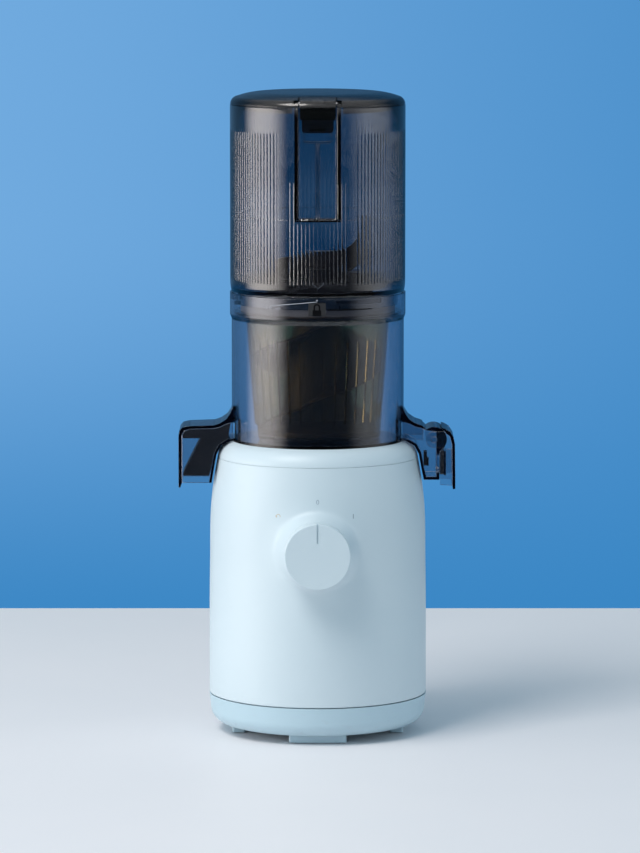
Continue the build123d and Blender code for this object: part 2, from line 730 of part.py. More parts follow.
# ================================================================ MOTOR
motor_r = gearbox_r - 2.0
motor_wall = 1.5
motor_top_z = gearbox_z
motor_height = 64.0
motor_z = motor_top_z - motor_height
stack_height = 40.0
stack_z = motor_z + (motor_height - stack_height) / 2
stator_back = 7.0
pole_count = 6
pole_width = 10.0
air_gap = 0.5
rotor_r = 19.6
can_vent_ring_r = 26.0
can_vent_count = 8
can_vent_r = 5.0
can_seat_wall = 1.5
pole_shoe_t = 2.8
pole_shoe_extra = 5.0
rotor_magnet_t = 2.0
magnet_count = 8
winding_t = 3.4
stator_r = motor_r - motor_wall - joint_gap
stator_bore_r = rotor_r + air_gap

# ---- motor can: steel cup with the lower bearing seat and air holes
with BuildPart() as motor_can:
    with BuildSketch(Plane.XY.offset(motor_z)):
        Circle(motor_r)
    extrude(amount=motor_height - joint_gap)
    with BuildSketch(Plane.XY.offset(motor_z + motor_wall)):
        Circle(motor_r - motor_wall)
        Circle(motor_bearing_r + can_seat_wall, mode=Mode.SUBTRACT)
    extrude(amount=motor_height, mode=Mode.SUBTRACT)
    with BuildSketch(Plane.XY.offset(motor_z + motor_wall + motor_bearing_w)):
        Circle(motor_r - motor_wall)
    extrude(amount=motor_height, mode=Mode.SUBTRACT)
    with BuildSketch(Plane.XY.offset(motor_z + motor_wall)):
        Circle(motor_bearing_r)
    extrude(amount=motor_bearing_w, mode=Mode.SUBTRACT)
    with BuildSketch(Plane.XY.offset(motor_z)):
        Circle(motor_shaft_r + gap)
        with PolarLocations(can_vent_ring_r, can_vent_count):
            Circle(can_vent_r)
    extrude(amount=motor_wall, mode=Mode.SUBTRACT)
motor_can.part.label = "motor_can"
export_step(motor_can.part, "parts/motor_can.step")

# ---- stator core: laminated ring with six poles
with BuildPart() as stator_core:
    with BuildSketch(Plane.XY.offset(stack_z)):
        Circle(stator_r)
        Circle(stator_r - stator_back, mode=Mode.SUBTRACT)
        with PolarLocations((stator_r + stator_bore_r) / 2, pole_count):
            Rectangle(stator_r - stator_bore_r - 2 * bite, pole_width)
        with PolarLocations(stator_bore_r + pole_shoe_t / 2, pole_count):
            Rectangle(pole_shoe_t, pole_width + pole_shoe_extra)
        Circle(stator_bore_r, mode=Mode.SUBTRACT)
    extrude(amount=stack_height)
stator_core.part.label = "stator_core"
export_step(stator_core.part, "parts/stator_core.step")

# ---- stator windings: one copper coil on each pole
coil_inner_gap = 0.6
coil_outer_gap = 1.4
coil_corner_r = 1.2
coil_inner_r = stator_bore_r + pole_shoe_t + coil_inner_gap
coil_outer_r = stator_r - stator_back - coil_outer_gap
with BuildPart() as stator_windings:
    with BuildSketch(Plane.XY.offset(stack_z - winding_t)):
        with PolarLocations((coil_inner_r + coil_outer_r) / 2, pole_count):
            RectangleRounded(coil_outer_r - coil_inner_r, pole_width + 2 * winding_t, coil_corner_r)
    extrude(amount=stack_height + 2 * winding_t)
    with BuildSketch(Plane.XY.offset(stack_z - joint_gap)):
        with PolarLocations((coil_inner_r + coil_outer_r) / 2, pole_count):
            Rectangle(2 * coil_outer_r - 2 * coil_inner_r, pole_width + 2 * joint_gap)
    extrude(amount=stack_height + 2 * joint_gap, mode=Mode.SUBTRACT)
stator_windings.part.label = "stator_windings"
export_step(stator_windings.part, "parts/stator_windings.step")

# ---- motor bearings: one at each end of the shaft
motor_bearing_planes = (motor_z + motor_wall, gearbox_z - motor_bearing_w)
with BuildPart() as motor_bearings:
    for bearing_z in motor_bearing_planes:
        with BuildSketch(Plane.XY.offset(bearing_z)):
            Circle(motor_bearing_r)
            Circle(motor_shaft_r + running, mode=Mode.SUBTRACT)
        extrude(amount=motor_bearing_w)
motor_bearings.part.label = "motor_bearings"
export_step(motor_bearings.part, "parts/motor_bearings.step")

# ---- rotor: shaft, core, ring of magnets and a cooling fan below the can
fan_r = 34.0
fan_blades = 9
fan_height = 8.0
fan_gap = 3.0
fan_plate_t = 1.2
fan_hub_wall = 4.0
fan_blade_in_r = 14.0
fan_blade_t = 1.4
fan_blade_turn = 18.0
shaft_chamfer = 0.5
fan_z = motor_z - fan_gap - fan_height
with BuildPart() as rotor_shaft:
    with BuildSketch(Plane.XY.offset(fan_z - past)):
        Circle(motor_shaft_r)
    extrude(amount=gear_top_z - fan_z + past)
    chamfer(rotor_shaft.edges().filter_by(GeomType.CIRCLE), shaft_chamfer)
rotor_shaft.part.label = "rotor_shaft"
export_step(rotor_shaft.part, "parts/rotor_shaft.step")

rotor_hole_ring_r = 10.5
rotor_hole_count = 6
rotor_hole_r = 2.6
with BuildPart() as rotor_core:
    with BuildSketch(Plane.XY.offset(stack_z)):
        Circle(rotor_r - rotor_magnet_t)
        Circle(motor_shaft_r, mode=Mode.SUBTRACT)
        with PolarLocations(rotor_hole_ring_r, rotor_hole_count):
            Circle(rotor_hole_r, mode=Mode.SUBTRACT)
    extrude(amount=stack_height)
rotor_core.part.label = "rotor_core"
export_step(rotor_core.part, "parts/rotor_core.step")

magnet_gap = 1.2
with BuildPart() as rotor_magnets:
    with BuildSketch(Plane.XY.offset(stack_z)):
        Circle(rotor_r)
        Circle(rotor_r - rotor_magnet_t, mode=Mode.SUBTRACT)
        with PolarLocations(rotor_r, magnet_count):
            Rectangle(3 * rotor_magnet_t, magnet_gap, mode=Mode.SUBTRACT)
    extrude(amount=stack_height)
rotor_magnets.part.label = "rotor_magnets"
export_step(rotor_magnets.part, "parts/rotor_magnets.step")

with BuildPart() as motor_fan:
    with BuildSketch(Plane.XY.offset(fan_z)):
        Circle(fan_r)
    extrude(amount=fan_plate_t)
    with BuildSketch(Plane.XY.offset(fan_z)):
        Circle(motor_shaft_r + fan_hub_wall)
        with PolarLocations((fan_r + fan_blade_in_r) / 2, fan_blades):
            Rectangle(fan_r - fan_blade_in_r, fan_blade_t, rotation=fan_blade_turn)
    extrude(amount=fan_height)
    with BuildSketch(Plane.XY.offset(fan_z)):
        Circle(fan_r)
    extrude(amount=fan_height, mode=Mode.INTERSECT)
    with BuildSketch(Plane.XY.offset(fan_z)):
        Circle(motor_shaft_r)
    extrude(amount=fan_height, mode=Mode.SUBTRACT)
motor_fan.part.label = "motor_fan"
export_step(motor_fan.part, "parts/motor_fan.step")


# ================================================================ ELECTRICS AND KNOB
# ---- circuit board on the standoffs, and the capacitor on the floor in front of it
board_t = 1.6
board_margin = 6.0
board_corner_r = 3.0
board_part_height = 7.0
# terminal block, transformer and processor: place in X and Y, length, width
board_parts = [(-14, 14, 18, 6), (16, 12, 14, 10), (-20, -2, 9, 9)]
capacitor_r = 8.0
capacitor_length = 26.0
capacitor_x = 6.0
capacitor_round = 0.8
board_half_x = board_stand_x + board_margin
board_half_y = board_stand_y + board_margin
capacitor_y = -board_half_y - joint_gap - capacitor_r
capacitor_z = bowl_floor_z + joint_gap + capacitor_r
with BuildPart() as circuit_board:
    with BuildSketch(Plane.XY.offset(board_z)):
        RectangleRounded(2 * board_half_x, 2 * board_half_y, board_corner_r)
        with GridLocations(2 * board_stand_x, 2 * board_stand_y, 2, 2):
            Circle(screw_r, mode=Mode.SUBTRACT)
    extrude(amount=board_t)
    with BuildSketch(Plane.XY.offset(board_z + board_t)):
        for part_x, part_y, part_length, part_width in board_parts:
            with Locations((part_x, part_y)):
                Rectangle(part_length, part_width)
    extrude(amount=board_part_height)
circuit_board.part.label = "circuit_board"
export_step(circuit_board.part, "parts/circuit_board.step")

with BuildPart() as capacitor:
    with BuildSketch(Plane.YZ.offset(capacitor_x - capacitor_length / 2)):
        with Locations((capacitor_y, capacitor_z)):
            Circle(capacitor_r)
    extrude(amount=capacitor_length)
    fillet(capacitor.edges().filter_by(GeomType.CIRCLE), capacitor_round)
capacitor.part.label = "capacitor"
export_step(capacitor.part, "parts/capacitor.step")

# ---- rotary switch: box behind the dial boss with a threaded neck through it
switch_size = 26.0
switch_depth = 16.0
switch_shaft_r = 3.0
switch_corner_r = 3.0
neck_short = 0.3
terminal_pitch = 6.0
terminal_width = 3.0
terminal_t = 0.8
terminal_length = 5.0
terminal_drop = 8.0
shaft_stop = 5.0
switch_back_y = boss_face_y + boss_face_t + joint_gap
with BuildPart() as rotary_switch:
    with BuildSketch(Plane.XZ.offset(-switch_back_y)):
        with Locations((0, knob_z)):
            RectangleRounded(switch_size, switch_size, switch_corner_r)
    extrude(amount=-switch_depth)
    with BuildSketch(Plane.XZ.offset(-switch_back_y)):
        with Locations((0, knob_z)):
            Circle(switch_neck_r - joint_gap)
    extrude(amount=boss_face_t + joint_gap - neck_short)
    with BuildSketch(Plane.XZ.offset(-boss_face_y + past)):
        with Locations((0, knob_z)):
            Circle(switch_shaft_r + running)
    extrude(amount=boss_face_y - switch_back_y - switch_depth + shaft_stop - 2 * past, mode=Mode.SUBTRACT)
    with BuildSketch(Plane.XZ.offset(-switch_back_y - switch_depth)):
        with GridLocations(terminal_pitch, 0, 3, 1):
            with Locations((0, knob_z - terminal_drop)):
                Rectangle(terminal_width, terminal_t)
    extrude(amount=-terminal_length)
rotary_switch.part.label = "rotary_switch"
export_step(rotary_switch.part, "parts/rotary_switch.step")

# ---- switch shaft: round spindle with a flat under the knob
flat_depth = 0.8
knob_cover_t = 3.0
with BuildPart() as switch_shaft:
    with BuildSketch(Plane.XZ.offset(-knob_face_y - knob_cover_t)):
        with Locations((0, knob_z)):
            Circle(switch_shaft_r)
    extrude(amount=knob_face_y + knob_cover_t - (switch_back_y + switch_depth - shaft_stop))
    with BuildSketch(Plane.XZ.offset(-knob_face_y - knob_cover_t)):
        with Locations((0, knob_z + 2 * switch_shaft_r - flat_depth)):
            Rectangle(2 * switch_shaft_r, 2 * switch_shaft_r)
    extrude(amount=knob_face_y + knob_cover_t - knob_back_y, mode=Mode.SUBTRACT)
switch_shaft.part.label = "switch_shaft"
export_step(switch_shaft.part, "parts/switch_shaft.step")

# ---- knob: hollow disc with a pointer groove from its rim
knob_wall = 2.2
knob_hub_r = switch_shaft_r + 3.0
knob_round = 0.9
pointer_width = 1.3
pointer_depth = 0.9
pointer_inner_r = 9.0
with BuildPart() as knob:
    with BuildSketch(Plane.XZ.offset(-knob_back_y)):
        with Locations((0, knob_z)):
            Circle(knob_r)
    extrude(amount=knob_depth)
    fillet(knob.faces().sort_by(Axis.Y)[0].edges(), knob_round)
    with BuildSketch(Plane.XZ.offset(-knob_back_y)):
        with Locations((0, knob_z)):
            Circle(knob_r - knob_wall)
            Circle(knob_hub_r, mode=Mode.SUBTRACT)
    extrude(amount=knob_depth - knob_wall, mode=Mode.SUBTRACT)
    with BuildSketch(Plane.XZ.offset(-knob_back_y)):
        with Locations((0, knob_z)):
            Circle(switch_shaft_r)
        with Locations((0, knob_z + 2 * switch_shaft_r - flat_depth)):
            Rectangle(2 * switch_shaft_r, 2 * switch_shaft_r, mode=Mode.SUBTRACT)
    extrude(amount=knob_depth - knob_cover_t, mode=Mode.SUBTRACT)
    with BuildSketch(Plane.XZ.offset(-knob_face_y)):
        with Locations((0, knob_z + (knob_r + pointer_inner_r) / 2)):
            Rectangle(pointer_width, knob_r - pointer_inner_r)
    extrude(amount=-pointer_depth, mode=Mode.SUBTRACT)
knob.part.label = "knob"
export_step(knob.part, "parts/knob.step")

# ---- cord gland: flanged rubber bush at the back, with its nut inside
gland_flange_r = cord_hole_r + 3.0
gland_flange_t = 3.0
gland_bore_r = 3.6
gland_outer_y = base_r + gland_flange_t
gland_length = 18.0
gland_nut_t = 4.0
gland_nut_gap = 1.0
gland_round = 1.2
with BuildPart() as cord_gland:
    with BuildSketch(Plane.XZ.offset(-gland_outer_y)):
        with Locations((0, cord_z)):
            Circle(gland_flange_r)
    extrude(amount=gland_flange_t - joint_gap)
    fillet(cord_gland.faces().sort_by(Axis.Y)[-1].edges(), gland_round)
    with BuildSketch(Plane.XZ.offset(-gland_outer_y + bite)):
        with Locations((0, cord_z)):
            Circle(cord_hole_r - joint_gap)
    extrude(amount=gland_length - bite)
    with BuildSketch(Plane.XZ.offset(-gland_outer_y - past)):
        with Locations((0, cord_z)):
            Circle(gland_bore_r)
    extrude(amount=gland_length + 2 * past, mode=Mode.SUBTRACT)
cord_gland.part.label = "cord_gland"
export_step(cord_gland.part, "parts/cord_gland.step")

with BuildPart() as gland_nut:
    with BuildSketch(Plane.XZ.offset(-base_r + base_wall + gland_nut_gap)):
        with Locations((0, cord_z)):
            RegularPolygon(gland_flange_r, 6, major_radius=False)
            Circle(cord_hole_r, mode=Mode.SUBTRACT)
    extrude(amount=gland_nut_t)
gland_nut.part.label = "gland_nut"
export_step(gland_nut.part, "parts/gland_nut.step")

# ---- interlock switch: under the deck at the front, sensing the magnet in the drum
sensor_y = 5.8 - drum_inner_r
sensor_length = 18.0
sensor_width = 8.0
sensor_height = 6.0
sensor_pin_pitch = 5.0
sensor_pin_width = 2.4
sensor_pin_t = 0.8
sensor_pin_length = 4.0
sensor_z = deck_floor_z - base_wall - joint_gap - sensor_height
with BuildPart() as interlock_switch:
    with BuildSketch(Plane.XY.offset(sensor_z)):
        with Locations((0, sensor_y)):
            Rectangle(sensor_length, sensor_width)
    extrude(amount=sensor_height)
    with BuildSketch(Plane.XY.offset(sensor_z)):
        with Locations((0, sensor_y)):
            with GridLocations(sensor_pin_pitch, 0, 3, 1):
                Rectangle(sensor_pin_t, sensor_pin_width)
    extrude(amount=-sensor_pin_length)
interlock_switch.part.label = "interlock_switch"
export_step(interlock_switch.part, "parts/interlock_switch.step")


# ================================================================ DRUM
def ring_sector(inner_r, outer_r, angle):
    """Flat piece of a ring, centred on +X."""
    c = math.cos(math.radians(angle / 2))
    s = math.sin(math.radians(angle / 2))
    with BuildSketch() as sector:
        with BuildLine():
            outer = ThreePointArc((outer_r * c, -outer_r * s), (outer_r, 0), (outer_r * c, outer_r * s))
            inner = ThreePointArc((inner_r * c, inner_r * s), (inner_r, 0), (inner_r * c, -inner_r * s))
            Line(outer @ 1, inner @ 0)
            Line(inner @ 1, outer @ 0)
        make_face()
    return sector.sketch


# ---- drum: clear tube on a raised floor, rim with bayonet lugs, two moulded spouts
spout_half = 17.0
spout_wall = 2.0
spout_clear = 0.8
spout_drop = 15.9          # spouts reach this far below the deck seam
opening_half_height = 4.4
nozzle_half = 15.0
nozzle_reach = 23.4        # end of the nozzle outside the drum
nozzle_lift = 1.8          # nozzle floor above the foot of the spouts
nozzle_floor_t = 1.8
nozzle_nose_r = 8.3
cap_pivot_back = 3.5
cap_pivot_above_deck = 1.5
pivot_r = 1.9
mouth_half = 11.0
mouth_height = 14.0
mouth_sill = 3.7
mouth_corner_r = 3.0
hood_reach = 34.8          # end of the hood outside the drum
hood_drop = 0.6            # hood roof below the root of the roof
hood_wall = 2.2
hood_lip = 3.4
hood_below = 9.0           # the hood's hollow runs this far past its foot
liner_gap = 1.5            # wall left between the running line and the hollows

spout_foot_z = deck_seam_z - spout_drop
nozzle_end_x = drum_r + nozzle_reach
nozzle_foot_z = spout_foot_z + nozzle_lift
cap_pivot_x = nozzle_end_x - cap_pivot_back
cap_pivot_z = deck_top_z + cap_pivot_above_deck
mouth_low_z = nozzle_foot_z + mouth_sill
mouth_high_z = mouth_low_z + mouth_height
opening_low_z = drum_floor_z + drum_floor_t + spout_clear
opening_high_z = opening_low_z + 2 * opening_half_height
spout_roof_z = opening_high_z
hood_end_x = drum_r + hood_reach
hood_roof_z = spout_roof_z - hood_drop

# running line over the deck shoulder and down beside the shell, that the spouts follow
shoulder_line = [
    (deck_recess_r + gap, deck_top_z + spout_clear),
    (deck_turn_r + 0.9, deck_turn_z + 0.9),
    (deck_seam_r + 0.4, deck_seam_z + 2.9),
    (deck_seam_r + 0.9, deck_seam_z),
    (shell_turn_r - 0.4, shell_turn_z + 8.8),
    (shell_turn_r + 1.0, spout_foot_z),
]


def pushed_out(points, distance):
    """The same line moved outwards and upwards by a wall thickness."""
    return [(x + distance, z + 0.6 * distance) for x, z in points]


def mirrored(points):
    """The same line on the other side of the drum."""
    return [(-x, z) for x, z in points]


# the openings start this far out, inside the round wall over their whole width
opening_half = spout_half - spout_wall
opening_start_x = math.sqrt(drum_inner_r**2 - opening_half**2) - past


def from_roof(points):
    """Points given as distances outside the drum and above the root of the roof."""
    return [(drum_r + x, spout_roof_z + z) for x, z in points]


roof_line = from_roof([(-bite, 12.4), (0.8, 8.0), (3.2, 4.2), (7.3, 1.4), (11.4, 0)])
roof_inner = [
    (opening_start_x, spout_roof_z),
    *from_roof([(0.4, 1.8), (4.0, 0.6), (8.0, -1.4), (11.8, -2.2)]),
]

# left spout: hood with a lipped front wall, open below
hood_outline = mirrored(
    roof_line
    + [
        (hood_end_x - 6.6, hood_roof_z),
        (hood_end_x - 2.6, hood_roof_z - 0.9),
        (hood_end_x - 0.6, hood_roof_z - 3.0),
        (hood_end_x, hood_roof_z - 6.5),
        (hood_end_x, spout_foot_z - hood_lip + 0.6),
        (hood_end_x - 1.0, spout_foot_z - hood_lip),
        (hood_end_x - hood_wall, spout_foot_z),
    ]
    + shoulder_line[::-1]
    + [(drum_r - bite, shoulder_line[0][1])]
)
hood_hollow = mirrored(
    roof_inner
    + [
        (hood_end_x - 7.4, hood_roof_z - spout_wall),
        (hood_end_x - 3.8, hood_roof_z - spout_wall - 1.2),
        (hood_end_x - hood_wall, hood_roof_z - spout_wall - 4.0),
        (hood_end_x - hood_wall, spout_foot_z - hood_below),
        (shoulder_line[-1][0] + liner_gap, spout_foot_z - hood_below),
    ]
    + pushed_out(shoulder_line, liner_gap)[::-1]
    + [(opening_start_x, opening_low_z)]
)

# right spout: nozzle with a mouth in its end wall and a nose round the cap pivot
nose_end_z = cap_pivot_z - math.sqrt(nozzle_nose_r**2 - cap_pivot_back**2)


def nose_point(angle):
    """Point on the nose, at an angle above +X."""
    turn = math.radians(angle)
    return (cap_pivot_x + nozzle_nose_r * math.cos(turn), cap_pivot_z + nozzle_nose_r * math.sin(turn))


nozzle_hollow = (
    roof_inner
    + [
        (cap_pivot_x - 5.5, cap_pivot_z + 6.0),
        (nozzle_end_x - spout_wall, cap_pivot_z + nozzle_nose_r - 3.2),
        (nozzle_end_x - spout_wall, nozzle_foot_z + nozzle_floor_t),
        (shoulder_line[-1][0] + liner_gap, nozzle_foot_z + nozzle_floor_t),
    ]
    + pushed_out(shoulder_line[:-1], liner_gap)[::-1]
    + [(opening_start_x, opening_low_z)]
)

rim_cone = 3.0
collar_gap = 2.5
lug_play = 0.3
lug_start = 60.0
drum_lug_down = 1.0
drum_lug_gap = 0.5
drum_lug_extra = 4.0
drum_lug_r = rim_inner_r - collar_gap + 0.7
drum_lug_z = rim_top_z - drum_lug_down - lug_height
collar_r = rim_inner_r - collar_gap
magnet_r = 4.0
magnet_t = 2.4
magnet_wall = 1.2
magnet_cup_lip = 0.4

with BuildPart() as drum:
    with BuildSketch(Plane.XY.offset(drum_foot_z)):
        Circle(drum_r)
    extrude(amount=rim_z - drum_foot_z)
    with BuildSketch(Plane.XZ):
        with BuildLine():
            Polyline((0, rim_z - rim_cone), (drum_r, rim_z - rim_cone), (rim_r, rim_z), (rim_r, rim_top_z))
            Polyline((rim_r, rim_top_z), (0, rim_top_z), (0, rim_z - rim_cone))
        make_face()
    revolve(axis=Axis.Z)
    # left hood
    with BuildSketch(Plane.XZ):
        with BuildLine():
            Polyline(*hood_outline, close=True)
        make_face()
    extrude(amount=spout_half, both=True)
    # right nozzle: wide root, then the narrower part between the cap arms
    with BuildSketch(Plane.XZ):
        with BuildLine():
            Polyline(
                *roof_line,
                (cap_pivot_x - nozzle_nose_r + bite, spout_roof_z - hood_drop),
                (cap_pivot_x - nozzle_nose_r + bite, cap_pivot_z),
                (drum_r - bite, cap_pivot_z),
                close=True,
            )
        make_face()
    extrude(amount=spout_half, both=True)
    with BuildSketch(Plane.XZ):
        with BuildLine():
            Polyline(*from_roof([(-bite, 5.4), (5.4, 2.0), (12.6, -1.0)]), nose_point(128))
            ThreePointArc(nose_point(128), nose_point(90), nose_point(30))
            ThreePointArc(nose_point(30), nose_point(0), (nozzle_end_x, nose_end_z))
            Polyline(
                (nozzle_end_x, nose_end_z),
                (nozzle_end_x, nozzle_foot_z),
                (shoulder_line[-1][0], nozzle_foot_z),
                *shoulder_line[:-1][::-1],
                (drum_r - bite, shoulder_line[0][1]),
                from_roof([(-bite, 5.4)])[0],
            )
        make_face()
    extrude(amount=nozzle_half, both=True)
    # keep the running line over the deck clear under the wide root
    with BuildSketch(Plane.XZ):
        with BuildLine():
            Polyline(
                (drum_r - bite / 2, deck_seam_z),
                (drum_r - bite / 2, shoulder_line[0][1]),
                *shoulder_line[:3],
                (shoulder_line[2][0], deck_seam_z),
                close=True,
            )
        make_face()
    extrude(amount=spout_half + past, both=True, mode=Mode.SUBTRACT)
    with BuildSketch(Plane.XY.offset(drum_foot_z)):
        Circle(drum_r)
    extrude(amount=drum_floor_z - drum_foot_z)
    # bore of the tube and the rim, the recess under the floor, the hub
    with BuildSketch(Plane.XY.offset(drum_floor_z + drum_floor_t)):
        Circle(drum_inner_r)
        Circle(drum_hub_r, mode=Mode.SUBTRACT)
    extrude(amount=rim_top_z, mode=Mode.SUBTRACT)
    with BuildSketch(Plane.XY.offset(drum_hub_z)):
        Circle(drum_inner_r)
    extrude(amount=rim_top_z, mode=Mode.SUBTRACT)
    with BuildSketch(Plane.XY.offset(rim_z)):
        Circle(rim_inner_r)
    extrude(amount=rim_top_z, mode=Mode.SUBTRACT)
    with BuildSketch(Plane.XY.offset(drum_foot_z)):
        Circle(drum_inner_r)
    extrude(amount=drum_floor_z - drum_foot_z, mode=Mode.SUBTRACT)
    with BuildSketch(Plane.XY.offset(drum_foot_z)):
        Circle(spindle_r + gap)
    extrude(amount=drum_hub_z, mode=Mode.SUBTRACT)
    # hollow of both spouts, through the drum wall
    with BuildSketch(Plane.XZ):
        with BuildLine():
            Polyline(*hood_hollow, close=True)
        make_face()
    extrude(amount=opening_half, both=True, mode=Mode.SUBTRACT)
    with BuildSketch(Plane.XZ):
        with BuildLine():
            Polyline(*nozzle_hollow, close=True)
        make_face()
    extrude(amount=nozzle_half - spout_wall, both=True, mode=Mode.SUBTRACT)
    # mouth of the nozzle and holes for the cap pivots
    with BuildSketch(Plane.YZ.offset(nozzle_end_x - spout_wall - past)):
        with Locations((0, (mouth_low_z + mouth_high_z) / 2)):
            RectangleRounded(2 * mouth_half, mouth_height, mouth_corner_r)
    extrude(amount=spout_wall + 2 * past, mode=Mode.SUBTRACT)
    with BuildSketch(Plane.XZ):
        with Locations((cap_pivot_x, cap_pivot_z)):
            Circle(pivot_r)
    extrude(amount=spout_half + past, both=True, mode=Mode.SUBTRACT)
    # bayonet lugs inside the rim
    with BuildSketch(Plane.XY.offset(drum_lug_z)):
        with PolarLocations(0, lug_count, lug_start):
            add(ring_sector(drum_lug_r, rim_inner_r + bite / 2, lug_angle + drum_lug_extra))
    extrude(amount=lug_height)
    # cup for the magnet under the floor
    with BuildSketch(Plane.XY.offset(drum_floor_z)):
        with Locations((0, sensor_y)):
            Circle(magnet_r + magnet_wall)
            Circle(magnet_r, mode=Mode.SUBTRACT)
    extrude(amount=-magnet_t - magnet_cup_lip)
drum.part.label = "drum"
export_step(drum.part, "parts/drum.step")

# ---- drum magnet: tells the interlock switch that the drum is on
with BuildPart() as drum_magnet:
    with BuildSketch(Plane.XY.offset(drum_floor_z)):
        with Locations((0, sensor_y)):
            Circle(magnet_r)
    extrude(amount=-magnet_t)
drum_magnet.part.label = "drum_magnet"
export_step(drum_magnet.part, "parts/drum_magnet.step")

# ---- drum seal: silicone lip ring on top of the hub
drum_seal_height = 3.0
drum_seal_gap = 0.2
drum_seal_lip = 1.4
drum_seal_groove = 1.6
with BuildPart() as drum_seal:
    with BuildSketch(Plane.XY.offset(drum_hub_z)):
        Circle(drum_hub_r)
        Circle(spindle_r + drum_seal_gap, mode=Mode.SUBTRACT)
    extrude(amount=drum_seal_height)
    with BuildSketch(Plane.XY.offset(drum_hub_z + drum_seal_height)):
        Circle(drum_hub_r - drum_seal_lip)
        Circle(spindle_r + drum_seal_gap + drum_seal_lip, mode=Mode.SUBTRACT)
    extrude(amount=-drum_seal_groove, mode=Mode.SUBTRACT)
drum_seal.part.label = "drum_seal"
export_step(drum_seal.part, "parts/drum_seal.step")

# ---- pulp chute: black insert in the left hood, widening downwards
chute_wall = 1.8
chute_half = spout_half - spout_wall - joint_gap
chute_high_x = hood_end_x - 14.6
chute_low_x = hood_end_x - 2.8
chute_low_z = spout_foot_z + 4.5
chute_high_z = opening_low_z
chute_line_gap = 1.7       # chute outside the running line
chute_inner_gap = 3.4      # its hollow outside the running line
chute_outer = (
    from_roof([(0.6, 1.0), (3.8, 0), (7.8, -1.8), (11.8, -2.6)])
    + [
        (hood_end_x - 7.4, hood_roof_z - spout_wall - gap),
        (hood_end_x - 4.1, hood_roof_z - spout_wall - 1.8),
        (chute_low_x + 0.2, hood_roof_z - spout_wall - 4.2),
        (chute_low_x + 0.2, chute_high_z),
        (chute_high_x, chute_high_z),
        (chute_low_x, chute_low_z + 1.0),
        (chute_low_x - 0.6, chute_low_z),
        (shell_turn_r + 2.7, chute_low_z),
    ]
    + pushed_out(shoulder_line[:-1], chute_line_gap)[::-1]
)
chute_inner = (
    from_roof([(-bite, -1.0), (3.4, -1.8), (7.4, -3.6), (11.8, -4.4)])
    + [
        (chute_high_x - 3.2, spout_roof_z - 4.6),
        (chute_high_x - 2.6, chute_high_z - 1.0),
        (chute_low_x - 2.6, chute_low_z + 1.0),
        (chute_low_x - 2.6, chute_low_z - 2 * past),
        (shell_turn_r + 4.6, chute_low_z - 2 * past),
    ]
    + pushed_out(shoulder_line[:-1], chute_inner_gap)[::-1]
    + [(drum_r - bite, pushed_out(shoulder_line, chute_inner_gap)[0][1])]
)
with BuildPart() as pulp_chute:
    with BuildSketch(Plane.XZ):
        with BuildLine():
            Polyline(*mirrored(chute_outer), close=True)
        make_face()
    extrude(amount=chute_half, both=True)
    with BuildSketch(Plane.XZ):
        with BuildLine():
            Polyline(*mirrored(chute_inner), close=True)
        make_face()
    extrude(amount=chute_half - chute_wall, both=True, mode=Mode.SUBTRACT)
pulp_chute.part.label = "pulp_chute"
export_step(pulp_chute.part, "parts/pulp_chute.step")

# ---- outlet stopper: silicone plug on the inner wall of the nozzle
stopper_low_z = spout_foot_z + 10.0
stopper_step = 4.8
stopper_height = 9.1
stopper_half = 5.0
stopper_back_x = shell_turn_r + 1.2
stopper_foot_t = 3.2
stopper_neck_t = 2.0
with BuildPart() as outlet_stopper:
    with BuildSketch(Plane.XZ):
        with BuildLine():
            Polyline(
                (stopper_back_x, stopper_low_z),
                (stopper_back_x + stopper_foot_t, stopper_low_z),
                (stopper_back_x + stopper_foot_t, stopper_low_z + stopper_step),
                (stopper_back_x + stopper_neck_t, stopper_low_z + stopper_step),
                (stopper_back_x + stopper_neck_t, stopper_low_z + stopper_height),
                (stopper_back_x, stopper_low_z + stopper_height),
                close=True,
            )
        make_face()
    extrude(amount=stopper_half, both=True)
outlet_stopper.part.label = "outlet_stopper"
export_step(outlet_stopper.part, "parts/outlet_stopper.step")

# ---- cap pivots: two pins in the side walls of the nozzle
with BuildPart() as cap_pivots:
    for side in (-1, 1):
        with BuildSketch(Plane.XZ.offset(side * (nozzle_half - spout_wall))):
            with Locations((cap_pivot_x, cap_pivot_z)):
                Circle(pivot_r)
        extrude(amount=side * (spout_half - nozzle_half + spout_wall))
cap_pivots.part.label = "cap_pivots"
export_step(cap_pivots.part, "parts/cap_pivots.step")

# ---- juice cap: hood that swings up about the pivots and shuts the mouth
cap_inner_half = nozzle_half + gap
cap_arm_r = 5.4
cap_reach = 10.4           # front of the cap outside the nozzle
cap_wall = 1.9
cap_below = 3.1            # cap's back edge below the nozzle
cap_lip = 2.9
cap_seal_margin = 1.0
cap_seal_t = 2.5
cap_carrier_t = 1.4
cap_rib_t = 2.0
cap_carrier_x = nozzle_end_x + gap + cap_seal_t
cap_end_x = nozzle_end_x + cap_reach
cap_foot_z = nozzle_foot_z - cap_below
cap_back_x = nozzle_end_x + gap
cap_sweep_r = nozzle_nose_r + gap


def sweep_point(angle):
    """Point on the cylinder that the cap's roof sweeps round the nose, at an angle above +X."""
    turn = math.radians(angle)
    return (cap_pivot_x + cap_sweep_r * math.cos(turn), cap_pivot_z + cap_sweep_r * math.sin(turn))


